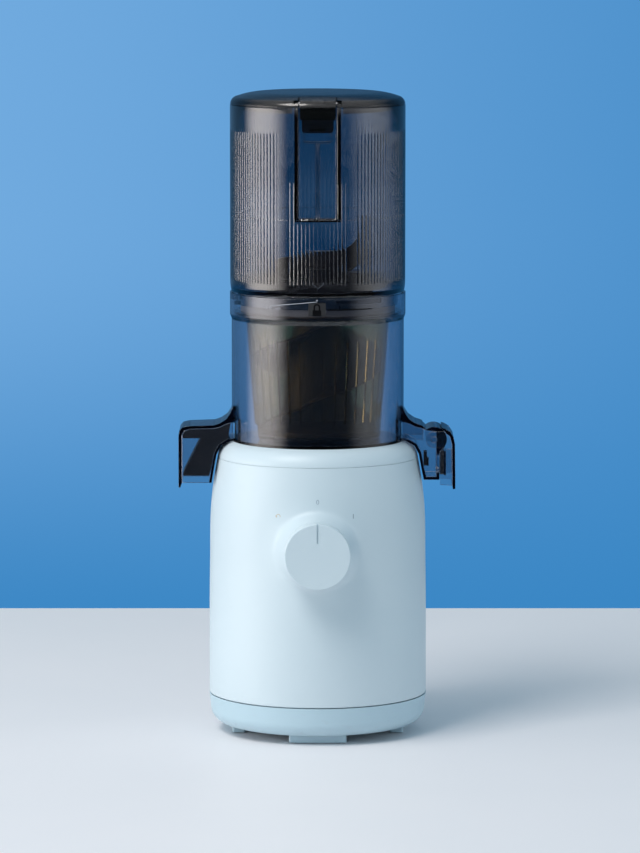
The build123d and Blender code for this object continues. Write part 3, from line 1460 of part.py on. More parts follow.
cap_back = (cap_back_x, cap_pivot_z - math.sqrt(cap_sweep_r**2 - (cap_back_x - cap_pivot_x) ** 2))
cap_roof = (sweep_point(56)[0] + 0.1, sweep_point(56)[1] + 0.7)
with BuildPart() as juice_cap:
    with BuildSketch(Plane.XZ):
        with BuildLine():
            Polyline(
                cap_roof,
                (cap_end_x - 6.8, cap_pivot_z + 7.3),
                (cap_end_x - 3.6, cap_pivot_z + 5.3),
                (cap_end_x - 1.2, cap_pivot_z + 1.6),
                (cap_end_x - 0.3, cap_pivot_z - 3.0),
                (cap_end_x, cap_foot_z + 5.0),
                (cap_end_x, cap_foot_z - cap_lip + 0.2),
                (cap_end_x - 1.6, cap_foot_z - cap_lip),
                (cap_end_x - cap_wall, cap_foot_z - 0.6),
                (cap_back_x, cap_foot_z),
                cap_back,
            )
            ThreePointArc(cap_back, sweep_point(0), sweep_point(56))
            Line(sweep_point(56), cap_roof)
        make_face()
    extrude(amount=spout_half, both=True)
    # hollow between front wall, roof and sides; open below
    with BuildSketch(Plane.XZ):
        with BuildLine():
            Polyline((cap_back_x - past, cap_foot_z - 5), (cap_back_x - past, cap_back[1]), cap_back)
            ThreePointArc(cap_back, sweep_point(0), sweep_point(26))
            Polyline(
                sweep_point(26),
                (cap_end_x - 3.8, cap_pivot_z + 2.4),
                (cap_end_x - cap_wall - 0.3, cap_pivot_z - 3.0),
                (cap_end_x - cap_wall, cap_foot_z + 5),
                (cap_end_x - cap_wall, cap_foot_z - 5),
                (cap_back_x - past, cap_foot_z - 5),
            )
        make_face()
    extrude(amount=cap_inner_half, both=True, mode=Mode.SUBTRACT)
    # arms beside the nozzle
    for side in (-1, 1):
        with BuildSketch(Plane.XZ.offset(side * cap_inner_half)):
            with Locations((cap_pivot_x, cap_pivot_z)):
                Circle(cap_arm_r)
                with Locations((cap_arm_r, 0)):
                    Rectangle(2 * cap_arm_r, 2 * cap_arm_r)
        extrude(amount=side * (spout_half - cap_inner_half))
    with BuildSketch(Plane.XZ):
        with Locations((cap_pivot_x, cap_pivot_z)):
            Circle(pivot_r + running)
    extrude(amount=spout_half + past, both=True, mode=Mode.SUBTRACT)
    # carrier that presses the seal on the mouth, on a rib from the front wall
    with BuildSketch(Plane.XY.offset(mouth_low_z - cap_seal_margin)):
        with Locations((cap_carrier_x, 0)):
            Rectangle(
                cap_end_x - cap_wall + bite / 2 - cap_carrier_x,
                cap_rib_t,
                align=(Align.MIN, Align.CENTER),
            )
            Rectangle(cap_carrier_t, 2 * mouth_half + 2 * cap_seal_margin, align=(Align.MIN, Align.CENTER))
    extrude(amount=mouth_height + 2 * cap_seal_margin)
juice_cap.part.label = "juice_cap"
export_step(juice_cap.part, "parts/juice_cap.step")

# ---- juice cap seal: silicone pad on the carrier, just clear of the mouth
with BuildPart() as juice_cap_seal:
    with BuildSketch(Plane.YZ.offset(nozzle_end_x + gap)):
        with Locations((0, (mouth_low_z + mouth_high_z) / 2)):
            RectangleRounded(
                2 * mouth_half + 2 * cap_seal_margin, mouth_height + 1.6 * cap_seal_margin, mouth_corner_r
            )
    extrude(amount=cap_seal_t)
juice_cap_seal.part.label = "juice_cap_seal"
export_step(juice_cap_seal.part, "parts/juice_cap_seal.step")


# ================================================================ STRAINER AND AUGER
# ---- strainer: slotted cone with a flange on the drum ledge and a floor with the pulp gap
strainer_gallery = 7.0      # room for juice between the strainer's top and the drum
strainer_taper = 6.1
strainer_wall = 1.6
strainer_lift = 1.2
strainer_top_r = drum_inner_r - strainer_gallery
strainer_foot_r = strainer_top_r - strainer_taper
strainer_foot_z = drum_floor_z + drum_floor_t + strainer_lift
strainer_flange_r = rim_inner_r - lug_play
strainer_flange_t = 2.2
strainer_floor_t = 1.8
strainer_seat_gap = 0.2
strainer_top_z = rim_z + strainer_seat_gap
slot_count = 36
slot_width = 0.7
slot_depth = 12.0
slot_low_z = strainer_foot_z + 11.8
slot_high_z = strainer_top_z - 15.1
strainer_hole_r = drum_hub_r + 5.0
pulp_gap_angle = 40.0
pulp_gap_depth = 12.0
with BuildPart() as strainer:
    with BuildSketch(Plane.XZ):
        with BuildLine():
            Polyline(
                (strainer_hole_r, strainer_foot_z),
                (strainer_foot_r, strainer_foot_z),
                (strainer_top_r, strainer_top_z),
                (strainer_flange_r, strainer_top_z),
                (strainer_flange_r, strainer_top_z + strainer_flange_t),
                (strainer_top_r - strainer_wall, strainer_top_z + strainer_flange_t),
                (strainer_foot_r - strainer_wall, strainer_foot_z + strainer_floor_t),
                (strainer_hole_r, strainer_foot_z + strainer_floor_t),
                close=True,
            )
        make_face()
    revolve(axis=Axis.Z)
    # filter slots
    with BuildSketch(Plane.XY.offset(slot_low_z)):
        with PolarLocations((strainer_top_r + strainer_foot_r) / 2, slot_count, 180 / slot_count):
            Rectangle(slot_depth, slot_width)
    extrude(amount=slot_high_z - slot_low_z, mode=Mode.SUBTRACT)
    # gap in the floor and the wall towards the pulp spout
    with BuildSketch(Plane.XY.offset(strainer_foot_z - past)):
        with PolarLocations(0, 1, 180):
            add(ring_sector(strainer_foot_r - pulp_gap_depth, strainer_top_r, pulp_gap_angle))
    extrude(amount=opening_high_z - strainer_foot_z + past, mode=Mode.SUBTRACT)
strainer.part.label = "strainer"
export_step(strainer.part, "parts/strainer.step")

# ---- auger: tapered core with two screw flights, hexagonal socket from below
flight_gap = 1.0
flight_t = 5.0
flight_turn = 300.0
flight_top_down = 12.0
auger_lift = 1.0
auger_core_low_r = 25.0
auger_core_top_r = 15.0
auger_base_t = 2.5
auger_skirt = 9.0
auger_neck = 14.0
auger_hub_gap = 1.5
socket_gap = 0.15
auger_foot_z = strainer_foot_z + strainer_floor_t + auger_lift
auger_top_z = rim_top_z - 1.3
auger_recess_r = drum_hub_r + auger_hub_gap
auger_recess_z = drum_hub_z + drum_seal_height + auger_lift
strainer_slope = (strainer_top_r - strainer_foot_r) / (strainer_top_z - strainer_foot_z)


def auger_envelope(z):
    """Outer radius of the flights, one running gap inside the strainer wall."""
    return strainer_foot_r - strainer_wall - flight_gap + strainer_slope * (z - strainer_foot_z)


with BuildSketch() as flight_section:
    Rectangle(2 * strainer_top_r, flight_t)
flight_height = auger_top_z - auger_foot_z - flight_top_down
flights = Pos(0, 0, auger_foot_z) * Solid.extrude_linear_with_rotation(
    flight_section.sketch.faces()[0], (0, 0, 0), (0, 0, flight_height), flight_turn
)
with BuildPart() as auger:
    add(flights)
    with BuildSketch(Plane.XZ):
        with BuildLine():
            Polyline(
                (0, auger_foot_z),
                (auger_envelope(auger_foot_z), auger_foot_z),
                (auger_envelope(strainer_top_z), strainer_top_z),
                (auger_envelope(strainer_top_z), auger_top_z),
                (0, auger_top_z),
                close=True,
            )
        make_face()
    revolve(axis=Axis.Z, mode=Mode.INTERSECT)
    with BuildSketch(Plane.XZ):
        with BuildLine():
            Polyline(
                (0, auger_foot_z),
                (auger_envelope(auger_foot_z), auger_foot_z),
                (auger_envelope(auger_foot_z), auger_foot_z + auger_base_t),
                (auger_core_low_r, auger_foot_z + auger_skirt),
                (auger_core_top_r, auger_top_z - auger_neck),
                (auger_core_top_r, auger_top_z),
                (0, auger_top_z),
                close=True,
            )
        make_face()
    revolve(axis=Axis.Z)
    with BuildSketch(Plane.XY.offset(auger_foot_z)):
        Circle(auger_recess_r)
    extrude(amount=auger_recess_z - auger_foot_z, mode=Mode.SUBTRACT)
    with BuildSketch(Plane.XY.offset(auger_foot_z)):
        RegularPolygon(spindle_hex / 2 + socket_gap, 6, major_radius=False)
    extrude(amount=spindle_top_z + auger_lift - auger_foot_z, mode=Mode.SUBTRACT)
auger.part.label = "auger"
export_step(auger.part, "parts/auger.step")

# ---- cutting wing: disc with a feed gap, low cone, and a curved blade that climbs to a tall post
wing_r = strainer_top_r - 2.3
wing_t = 3.0
wing_z = auger_top_z
wing_hub_height = 13.0
wing_hub_r = 9.0
wing_cone_r = auger_core_top_r + 5.7
wing_gap_wall = 3.0
wing_gap_angle = 110.0
wing_gap_middle = 215.0
blade_t = 4.0
blade_reach = wing_r - 9.0     # ends of the blade from the axis
blade_back_y = 0.45 * blade_reach
blade_front_y = -0.25 * blade_reach
blade_back_bow = 0.32 * blade_reach
blade_front_bow = -0.2 * blade_reach
blade_low_height = 17.0
blade_mid_height = 25.5
blade_height = 52.5
post_in_x = wing_r - 16.2
post_out_x = wing_r - 11.0
blade_window_width = 8.2       # window under the climb to the post
blade_window_rise = 7.0
blade_window_height = 11.5
wing_hub_top_z = wing_z + wing_hub_height
blade_low_z = wing_z + blade_low_height
blade_mid_z = wing_z + blade_mid_height
blade_top_z = wing_z + blade_height
blade_window_z = wing_z + blade_window_height
with BuildPart() as blade:
    # S-shaped strip, seen from above
    with BuildSketch(Plane.XY.offset(wing_z + bite)):
        for end_x, middle_y, end_y in (
            (-blade_reach, blade_back_bow, blade_back_y),
            (blade_reach, blade_front_bow, blade_front_y),
        ):
            with BuildLine():
                ThreePointArc((0, 0), (end_x / 2, middle_y), (end_x, end_y))
                offset(amount=blade_t / 2, side=Side.BOTH)
            make_face()
    extrude(amount=blade_height)
    # its outline, seen from the front
    with BuildSketch(Plane.XZ):
        with BuildLine():
            climb = Spline(
                (3 - blade_reach, (wing_z + blade_low_z) / 2),
                (8 - blade_reach, blade_low_z),
                (-blade_reach / 2, blade_low_z + 3),
                (0, blade_mid_z),
                (post_in_x - 13, blade_mid_z + 2),
                (post_in_x - 7, blade_mid_z + 5.5),
                (post_in_x - 2.2, blade_mid_z + 13),
                (post_in_x, blade_top_z - 1),
            )
            tip = ThreePointArc(
                climb @ 1, ((post_in_x + post_out_x) / 2, blade_top_z), (post_out_x, blade_top_z - 1)
            )
            Polyline(
                tip @ 1,
                (post_out_x + 2, wing_z + bite),
                (-blade_reach, wing_z + bite),
                climb @ 0,
            )
        make_face()
        with BuildLine():
            Polyline(
                (post_in_x - blade_window_width, blade_window_z),
                (post_in_x - 0.6, blade_window_z + blade_window_rise),
                (post_in_x, blade_window_z),
                close=True,
            )
        make_face(mode=Mode.SUBTRACT)
    extrude(amount=wing_r, both=True, mode=Mode.INTERSECT)
with BuildPart() as cutting_wing:
    with BuildSketch(Plane.XY.offset(wing_z)):
        Circle(wing_r)
        with PolarLocations(0, 1, wing_gap_middle):
            add(
                ring_sector(auger_core_top_r + wing_gap_wall, 1.2 * wing_r, wing_gap_angle),
                mode=Mode.SUBTRACT,
            )
    extrude(amount=wing_t)
    with BuildSketch(Plane.XZ):
        with BuildLine():
            Polyline((0, wing_z), (wing_cone_r, wing_z), (wing_cone_r, wing_z + wing_t))
            slope = ThreePointArc(
                (wing_cone_r, wing_z + wing_t),
                (wing_hub_r + 3, wing_z + wing_t + 3),
                (wing_hub_r, wing_hub_top_z),
            )
            Polyline(slope @ 1, (0, wing_hub_top_z), (0, wing_z))
        make_face()
    revolve(axis=Axis.Z)
    add(blade.part)
cutting_wing.part.label = "cutting_wing"
export_step(cutting_wing.part, "parts/cutting_wing.step")


# ================================================================ HOPPER
pocket_half = 12.3
pocket_wall = 2.3
pocket_depth = 16.0        # from the front of the hopper to the back of the pocket
pocket_height = 71.0
pocket_floor_t = 2.3
hopper_floor_t = 2.5
hopper_floor_r = wing_r + 2.2
collar_wall = 2.2
ledge_half = 8.0
ledge_depth = 2.0
ledge_t = 2.0
ledge_down = 10.6
rib_half = 1.7
rib_depth = 1.6
rib_down = 22.4
hinge_behind = 4.5         # hinge axis behind the hopper wall
hinge_down = 2.9
hinge_r = 3.6
hinge_pin_r = 1.5
hinge_inner_x = 7.6
hinge_outer_x = 16.0
hinge_web = 10.0
pin_short = 0.3

pocket_back_y = pocket_depth - hopper_r
pocket_floor_z = hopper_top_z - pocket_height
collar_foot_z = drum_lug_z - drum_lug_gap - lug_height - 0.6
ledge_z = hopper_top_z - ledge_down
rib_top_z = hopper_top_z - rib_down
hinge_y = hopper_r + hinge_behind
hinge_z = hopper_top_z - hinge_down

# ---- hopper: clear fluted cup with a front pocket for the lid latch, bayonet collar below
with BuildPart() as hopper:
    with BuildSketch(Plane.XY.offset(hopper_foot_z)):
        Circle(hopper_r)
    extrude(amount=hopper_top_z - hopper_foot_z)
    with BuildSketch(Plane.XY.offset(hopper_foot_z + hopper_floor_t)):
        Circle(hopper_inner_r)
    extrude(amount=hopper_top_z, mode=Mode.SUBTRACT)
    # pocket walls, inside the round outline
    with BuildSketch(Plane.XY.offset(pocket_floor_z - pocket_floor_t)):
        with Locations((0, pocket_back_y + pocket_wall)):
            Rectangle(2 * (pocket_half + pocket_wall), hopper_r, align=(Align.CENTER, Align.MAX))
        Circle(hopper_r - bite / 2, mode=Mode.INTERSECT)
    extrude(amount=hopper_top_z - pocket_floor_z + pocket_floor_t)
    with BuildSketch(Plane.XY.offset(pocket_floor_z)):
        with Locations((0, pocket_back_y)):
            Rectangle(2 * pocket_half, hopper_r, align=(Align.CENTER, Align.MAX))
    extrude(amount=hopper_top_z, mode=Mode.SUBTRACT)
    # catch for the latch and the rib below it, on the back wall of the pocket
    with BuildSketch(Plane.XY.offset(ledge_z - ledge_t)):
        with Locations((0, pocket_back_y + bite / 2)):
            Rectangle(2 * ledge_half, ledge_depth + bite / 2, align=(Align.CENTER, Align.MAX))
    extrude(amount=ledge_t)
    with BuildSketch(Plane.XY.offset(pocket_floor_z - bite / 2)):
        with Locations((0, pocket_back_y + bite / 2)):
            Rectangle(2 * rib_half, rib_depth + bite / 2, align=(Align.CENTER, Align.MAX))
    extrude(amount=rib_top_z - pocket_floor_z + bite / 2)
    # opening in the floor and the collar around it
    with BuildSketch(Plane.XY.offset(hopper_foot_z)):
        Circle(hopper_floor_r)
    extrude(amount=hopper_floor_t, mode=Mode.SUBTRACT)
    with BuildSketch(Plane.XY.offset(collar_foot_z)):
        Circle(collar_r)
        Circle(collar_r - collar_wall, mode=Mode.SUBTRACT)
    extrude(amount=hopper_foot_z - collar_foot_z + bite / 2)
    with BuildSketch(Plane.XY.offset(collar_foot_z)):
        with PolarLocations(0, lug_count, lug_start):
            add(ring_sector(collar_r - bite, rim_inner_r - lug_play, lug_angle))
    extrude(amount=lug_height)
    # hinge knuckles at the back
    for side in (-1, 1):
        with BuildSketch(Plane.YZ.offset(side * (hinge_inner_x + gap))):
            with Locations((hinge_y, hinge_z)):
                Circle(hinge_r)
            with BuildLine():
                Polyline(
                    (hopper_r - 1.8, hinge_z - hinge_web),
                    (hopper_r - 0.3, hinge_z - hinge_web),
                    (hinge_y + hinge_r * 0.8, hinge_z - hinge_r * 0.6),
                    (hinge_y, hinge_z + hinge_r * 0.8),
                    (hopper_r - 1.8, hopper_top_z - 0.5),
                    close=True,
                )
            make_face()
        extrude(amount=side * (hinge_outer_x - hinge_inner_x - gap))
    with BuildSketch(Plane.YZ):
        with Locations((hinge_y, hinge_z)):
            Circle(hinge_pin_r)
    extrude(amount=hinge_outer_x + past, both=True, mode=Mode.SUBTRACT)
hopper.part.label = "hopper"
export_step(hopper.part, "parts/hopper.step")

# ---- lid hinge pin
with BuildPart() as lid_hinge_pin:
    with BuildSketch(Plane.YZ):
        with Locations((hinge_y, hinge_z)):
            Circle(hinge_pin_r)
    extrude(amount=hinge_outer_x - pin_short, both=True)
lid_hinge_pin.part.label = "lid_hinge_pin"
export_step(lid_hinge_pin.part, "parts/lid_hinge_pin.step")


# ================================================================ LID AND LATCH
lid_skirt_gap = 1.1
lid_skirt_t = 1.6
lid_skirt_height = 4.4
skirt_notch_margin = 1.5
latch_behind = 7.5         # latch axis behind the front of the hopper
latch_above_seam = 2.1
latch_side_gap = 0.9
latch_pin_r = 1.2
latch_notch_back = 4.2
notch_side = 0.3
cheek_t = 3.0
cheek_length = 9.0
cheek_above_pin = 1.4
tab_in = 1.4
tab_below_rim = 16.0
tab_t = 2.0
tab_corner_r = 2.6
tab_behind_pin = 3.0
hook_t = 1.8
hook_half = 5.0
hook_reach = 1.2
flap_height = 7.9
spring_room = 3.6
spring_space_r = latch_pin_r + 1.3
latch_front_gap = 3.3

lid_skirt_r = hopper_inner_r - lid_skirt_gap
lid_skirt_z = lid_seam_z - lid_skirt_height
notch_half = pocket_half + notch_side
latch_y = latch_behind - hopper_r
latch_z = lid_seam_z + latch_above_seam
notch_back_y = latch_y + latch_notch_back
latch_half = notch_half - latch_side_gap
latch_pin_half = notch_half + cheek_t - gap
tab_half = latch_half - tab_in
tab_foot_z = hopper_top_z - tab_below_rim
tab_y = latch_y - tab_behind_pin
flap_foot_z = lid_seam_z - flap_height
hook_z = ledge_z - ledge_t - gap


# the dome's points: inside the lid's edge and below its top
lid_edge_in = 1.3
lid_edge_down = 5.4
lid_rim_in = 4.5
lid_rim_down = 3.6
lid_turn_in = 11.8
lid_turn_down = 1.65
lid_dome_in = 20.3
lid_dome_down = 0.75


def lid_outline(inset):
    """Half outline of the domed lid, flat below at the seam."""
    with BuildLine() as line:
        edge = Line((0, lid_seam_z), (lid_r - inset, lid_seam_z))
        rim = ThreePointArc(
            edge @ 1,
            (lid_r - lid_edge_in - inset * 0.8, lid_top_z - lid_edge_down - inset * 0.6),
            (lid_r - lid_rim_in - inset * 0.3, lid_top_z - lid_rim_down - inset),
        )
        shoulder = ThreePointArc(
            rim @ 1,
            (lid_r - lid_turn_in, lid_top_z - lid_turn_down - inset),
            (lid_r - lid_dome_in, lid_top_z - lid_dome_down - inset),
        )
        dome = Spline(
            shoulder @ 1, (lid_r / 3, lid_top_z - 0.2 - inset), (0, lid_top_z - inset), tangents=[
                (-1, 0.03), (-1, 0)
            ]
        )
        Line(dome @ 1, edge @ 0)
    return line.line


# ---- lid: domed shell with a centring skirt, a latch notch and the rear knuckle
with BuildPart() as lid:
    with BuildSketch(Plane.XZ):
        add(lid_outline(0))
        make_face()
    revolve(axis=Axis.Z)
    with BuildSketch(Plane.XZ):
        add(lid_outline(lid_wall))
        make_face()
    revolve(axis=Axis.Z, mode=Mode.SUBTRACT)
    with BuildSketch(Plane.XY.offset(lid_skirt_z)):
        Circle(lid_skirt_r)
        Circle(lid_skirt_r - lid_skirt_t, mode=Mode.SUBTRACT)
        with Locations((0, -lid_skirt_r)):
            Rectangle(
                2 * (pocket_half + pocket_wall + skirt_notch_margin), lid_skirt_r, mode=Mode.SUBTRACT
            )
    extrude(amount=lid_skirt_height + 2 * bite)
    # cheeks that hold the latch pin
    with BuildSketch(Plane.XY.offset(lid_seam_z)):
        with Locations((-notch_half - cheek_t / 2, latch_y), (notch_half + cheek_t / 2, latch_y)):
            Rectangle(cheek_t, cheek_length)
    extrude(amount=latch_above_seam + latch_pin_r + cheek_above_pin)
    # notch for the latch
    with BuildSketch(Plane.XY.offset(lid_skirt_z - past)):
        with Locations((0, notch_back_y)):
            Rectangle(2 * notch_half, lid_r, align=(Align.CENTER, Align.MAX))
    extrude(amount=through, mode=Mode.SUBTRACT)
    with BuildSketch(Plane.YZ):
        with Locations((latch_y, latch_z)):
            Circle(latch_pin_r)
    extrude(amount=latch_pin_half, both=True, mode=Mode.SUBTRACT)
    # rear knuckle on its arm
    with BuildSketch(Plane.YZ):
        with Locations((hinge_y, hinge_z)):
            Circle(hinge_r)
        with BuildLine():
            Polyline(
                (hopper_r + gap, lid_seam_z),
                (lid_r - 2.4, lid_seam_z),
                (lid_r - 2.4, lid_seam_z + 3.0),
                (lid_r + 0.6, lid_seam_z + 2.9),
                (hinge_y + hinge_r * 0.8, hinge_z + hinge_r * 0.6),
                (hinge_y, hinge_z),
                (hinge_y - hinge_r * 0.75, hinge_z + hinge_r * 0.62),
                close=True,
            )
        make_face()
    extrude(amount=hinge_inner_x, both=True)
    with BuildSketch(Plane.YZ):
        with Locations((hinge_y, hinge_z)):
            Circle(hinge_pin_r + running)
    extrude(amount=hinge_inner_x, both=True, mode=Mode.SUBTRACT)
lid.part.label = "lid"
export_step(lid.part, "parts/lid.step")

# ---- latch pin
with BuildPart() as latch_pin:
    with BuildSketch(Plane.YZ):
        with Locations((latch_y, latch_z)):
            Circle(latch_pin_r)
    extrude(amount=latch_pin_half, both=True)
latch_pin.part.label = "latch_pin"
export_step(latch_pin.part, "parts/latch_pin.step")

# ---- latch: flap in the lid notch, finger tab below it and a hook under the catch
with BuildPart() as lid_latch:
    with BuildSketch(Plane.XZ):
        add(lid_outline(0))
        make_face()
    revolve(axis=Axis.Z)
    with BuildSketch(Plane.XY.offset(flap_foot_z)):
        Circle(lid_r)
    extrude(amount=lid_seam_z - flap_foot_z)
    with BuildSketch(Plane.YZ):
        with BuildLine():
            Polyline(
                (-lid_r - past, flap_foot_z),
                (tab_y + tab_t, flap_foot_z),
                (tab_y + tab_t, latch_z - 4.0),
                (latch_y + latch_front_gap, latch_z - 2.0),
                (latch_y + latch_front_gap, lid_top_z + past),
                (-lid_r - past, lid_top_z + past),
                close=True,
            )
        make_face()
    extrude(amount=latch_half, both=True, mode=Mode.INTERSECT)
    with BuildSketch(Plane.XZ.offset(-tab_y)):
        with Locations((0, tab_foot_z)):
            RectangleRounded(
                2 * tab_half,
                flap_foot_z + tab_corner_r + gap - tab_foot_z,
                tab_corner_r,
                align=(Align.CENTER, Align.MIN),
            )
    extrude(amount=-tab_t)
    with BuildSketch(Plane.XY.offset(hook_z)):
        with Locations((0, tab_y + bite / 2)):
            Rectangle(
                2 * hook_half,
                pocket_back_y - ledge_depth + hook_reach - tab_y - bite / 2,
                align=(Align.CENTER, Align.MIN),
            )
    extrude(amount=-hook_t)
    with BuildSketch(Plane.YZ):
        with Locations((latch_y, latch_z)):
            Circle(latch_pin_r + running)
    extrude(amount=latch_half + past, both=True, mode=Mode.SUBTRACT)
    # room for the coil spring round the middle of the pin
    with BuildSketch(Plane.YZ):
        with Locations((latch_y, latch_z)):
            Circle(spring_space_r)
            with Locations((0, -spring_space_r)):
                Rectangle(2 * latch_behind, spring_space_r, align=(Align.MIN, Align.MIN))
    extrude(amount=spring_room, both=True, mode=Mode.SUBTRACT)
lid_latch.part.label = "lid_latch"
export_step(lid_latch.part, "parts/lid_latch.step")

# ---- latch spring: coil round the pin
spring_wire_r = 0.25
spring_pitch = 1.1
spring_end_gap = 0.8
spring_coil_r = latch_pin_r + 0.65
with BuildPart() as latch_spring:
    with BuildLine():
        coil = Helix(spring_pitch, 2 * (spring_room - spring_end_gap), spring_coil_r)
    with BuildSketch(Plane(coil @ 0, z_dir=coil % 0)):
        Circle(spring_wire_r)
    sweep()
spring_place = Pos(spring_end_gap - spring_room, latch_y, latch_z) * Rot(0, 90, 0)
latch_spring.part = spring_place * latch_spring.part
latch_spring.part.label = "latch_spring"
export_step(latch_spring.part, "parts/latch_spring.step")
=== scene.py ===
import math

import bmesh
import bpy
import numpy as np
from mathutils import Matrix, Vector


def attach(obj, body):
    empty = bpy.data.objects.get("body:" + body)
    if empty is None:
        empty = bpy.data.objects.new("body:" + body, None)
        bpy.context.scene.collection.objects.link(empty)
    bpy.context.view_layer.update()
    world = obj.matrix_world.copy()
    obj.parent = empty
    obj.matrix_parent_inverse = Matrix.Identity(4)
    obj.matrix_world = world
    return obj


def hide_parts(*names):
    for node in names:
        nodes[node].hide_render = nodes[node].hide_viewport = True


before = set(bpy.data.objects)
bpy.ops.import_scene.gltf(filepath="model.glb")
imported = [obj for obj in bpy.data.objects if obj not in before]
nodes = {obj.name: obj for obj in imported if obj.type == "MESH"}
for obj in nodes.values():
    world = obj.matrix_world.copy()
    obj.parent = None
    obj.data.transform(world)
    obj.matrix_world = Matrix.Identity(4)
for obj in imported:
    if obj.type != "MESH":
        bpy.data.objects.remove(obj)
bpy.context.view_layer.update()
MM = 0.001


# ---------------------------------------------------------------- table, room, lamps and camera
# The machine stands on a pale table before a blue wall that is lighter on the left. A soft
# lamp high on the left lights it, with a long soft panel on each side, the left one brighter.
TABLE_HALF = 0.512
TABLE_DROP = 0.1 * MM
WALL_SIDES = (-0.1, 0.1)
WALL_HEIGHTS = (-0.168, -0.078)
WALL_GLOSS = 0.4
WALL_THROUGH = 0.35
ROOM_DEPTHS = (-0.1, 0.4)
CEILING_IN_FRONT = (0.05, 0.5)
CEILING_BEHIND = (0.45, 0.95)
PANEL_FADE = 0.45
CAMERA_PLACE = (0.0015, -3.291, 0.5987)
CAMERA_DIP = 6.8777
CAMERA_LENS = 212.18


def linear(red, green, blue):
    """A screen colour from 0 to 255 as the linear colour that shaders take."""
    part = np.array([red, green, blue]) / 255
    return tuple(np.where(part <= 0.04045, part / 12.92, ((part + 0.055) / 1.055) ** 2.4))


PALE = linear(243, 239, 240)
PALE_SHADE = linear(237, 235, 237)
WALL_LEFT = linear(115, 172, 224)
WALL_RIGHT = linear(77, 145, 204)
WALL_LOW = linear(57, 134, 196)
CEILING = (0.9, 0.93, 0.98)
FILL_BLUE = (0.25, 0.375, 0.46)
NEAR_BLACK = (0.02, 0.02, 0.022)


class Value:
    """A socket of a node. Python's operators on it each add one Math node."""

    def __init__(self, finish, socket):
        self.finish = finish
        self.socket = socket

    def math(self, operation, *numbers):
        return self.finish.add("ShaderNodeMath", {"operation": operation}, dict(enumerate(numbers)))

    def __add__(self, other):
        return self.math("ADD", self, other)

    def __rsub__(self, other):
        return self.math("SUBTRACT", other, self)

    def __mul__(self, other):
        return self.math("MULTIPLY", self, other)

    __radd__ = __add__

    def step(self, low, high):
        """0 below low, 1 above high, smooth between them."""
        settings = {"interpolation_type": "SMOOTHSTEP"}
        ends = {"Value": self, "From Min": low, "From Max": high}
        return self.finish.add("ShaderNodeMapRange", settings, ends)


class Finish:
    """One material, lamp or world under construction. end is the kind of its output node."""

    def __init__(self, name, owner=None, end="ShaderNodeOutputMaterial"):
        self.owner = owner or bpy.data.materials.new(name)
        self.owner.use_nodes = True
        self.owner.node_tree.nodes.clear()
        self.end = end

    def add(self, kind, settings=(), sockets=(), out=0):
        """A new node of that kind: its settings first, then a number, colour or link for each socket."""
        node = self.owner.node_tree.nodes.new(kind)
        for name, value in dict(settings).items():
            setattr(node, name, value)
        for name, value in dict(sockets).items():
            socket = node.inputs[name]
            if isinstance(value, Value):
                self.owner.node_tree.links.new(value.socket, socket)
            elif hasattr(value, "__len__") and len(value) == 3 and socket.type == "RGBA":
                socket.default_value = (*value, 1)
            else:
                socket.default_value = value
        return Value(self, node.outputs[out]) if node.outputs else None

    def ray(self, kind):
        """1 for the light rays of that kind, 0 for the others."""
        return self.add("ShaderNodeLightPath", out=f"Is {kind} Ray")

    def coordinate(self, vector, letter):
        """One coordinate of a vector."""
        return self.add("ShaderNodeSeparateXYZ", {}, {"Vector": vector}, out=letter)

    def place(self, stretch=(1, 1, 1)):
        """The point on the piece, in metres, stretched along each axis."""
        point = self.add("ShaderNodeTexCoord", out="Object")
        return self.add("ShaderNodeMapping", {}, {"Vector": point, "Scale": stretch})

    def noise(self, scale, detail=2.0, rough=0.5, stretch=(1, 1, 1)):
        """Soft random pattern from 0 to 1, with that many spots to the metre."""
        sockets = {"Vector": self.place(stretch), "Scale": scale, "Detail": detail, "Roughness": rough}
        return self.add("ShaderNodeTexNoise", {}, sockets)

    def blend(self, first, second, share):
        """A colour between two colours."""
        return self.add("ShaderNodeMix", {"data_type": "RGBA"}, {0: share, 6: first, 7: second}, out=2)

    def mixed(self, first, second, share):
        """A shader between two shaders."""
        return self.add("ShaderNodeMixShader", {}, {0: share, 1: first, 2: second})

    def glow(self, colour, strength=1.0):
        """A part of the surroundings in one colour."""
        return self.add("ShaderNodeBackground", {}, {"Color": colour, "Strength": strength})

    def relief(self, height, depth, below=None):
        """A normal from a height from 0 to 1 that stands for depth in metres."""
        sockets = {"Height": height, "Distance": depth, "Strength": 1.0}
        if below is not None:
            sockets["Normal"] = below
        return self.add("ShaderNodeBump", {}, sockets)

    def principled(self, **sockets):
        """A Principled shader, its sockets given by name with _ for each space."""
        named = {key.replace("_", " "): value for key, value in sockets.items()}
        return self.add("ShaderNodeBsdfPrincipled", {}, named)

    def close(self, surface, **inside):
        """Joins the surface, and what fills the inside, to the output node."""
        self.add(self.end, {}, {"Surface": surface, **inside})
        return self.owner

    def solid(self, **sockets):
        """A finished material of one Principled shader."""
        return self.close(self.principled(**sockets))


def plain_mesh(name, points, faces):
    """A mesh from lists of points, in metres, and faces."""
    mesh = bpy.data.meshes.new(name)
    mesh.from_pydata([tuple(point) for point in points], [], faces)
    return mesh


def put(name, data):
    """An object in the scene, at the origin."""
    thing = bpy.data.objects.new(name, data)
    bpy.context.scene.collection.objects.link(thing)
    return thing


def table_finish():
    """Pale laminate in faint clouds."""
    made = Finish("pale_table")
    return made.solid(Base_Color=made.blend(PALE, PALE_SHADE, made.noise(6, 2)), Roughness=0.55)


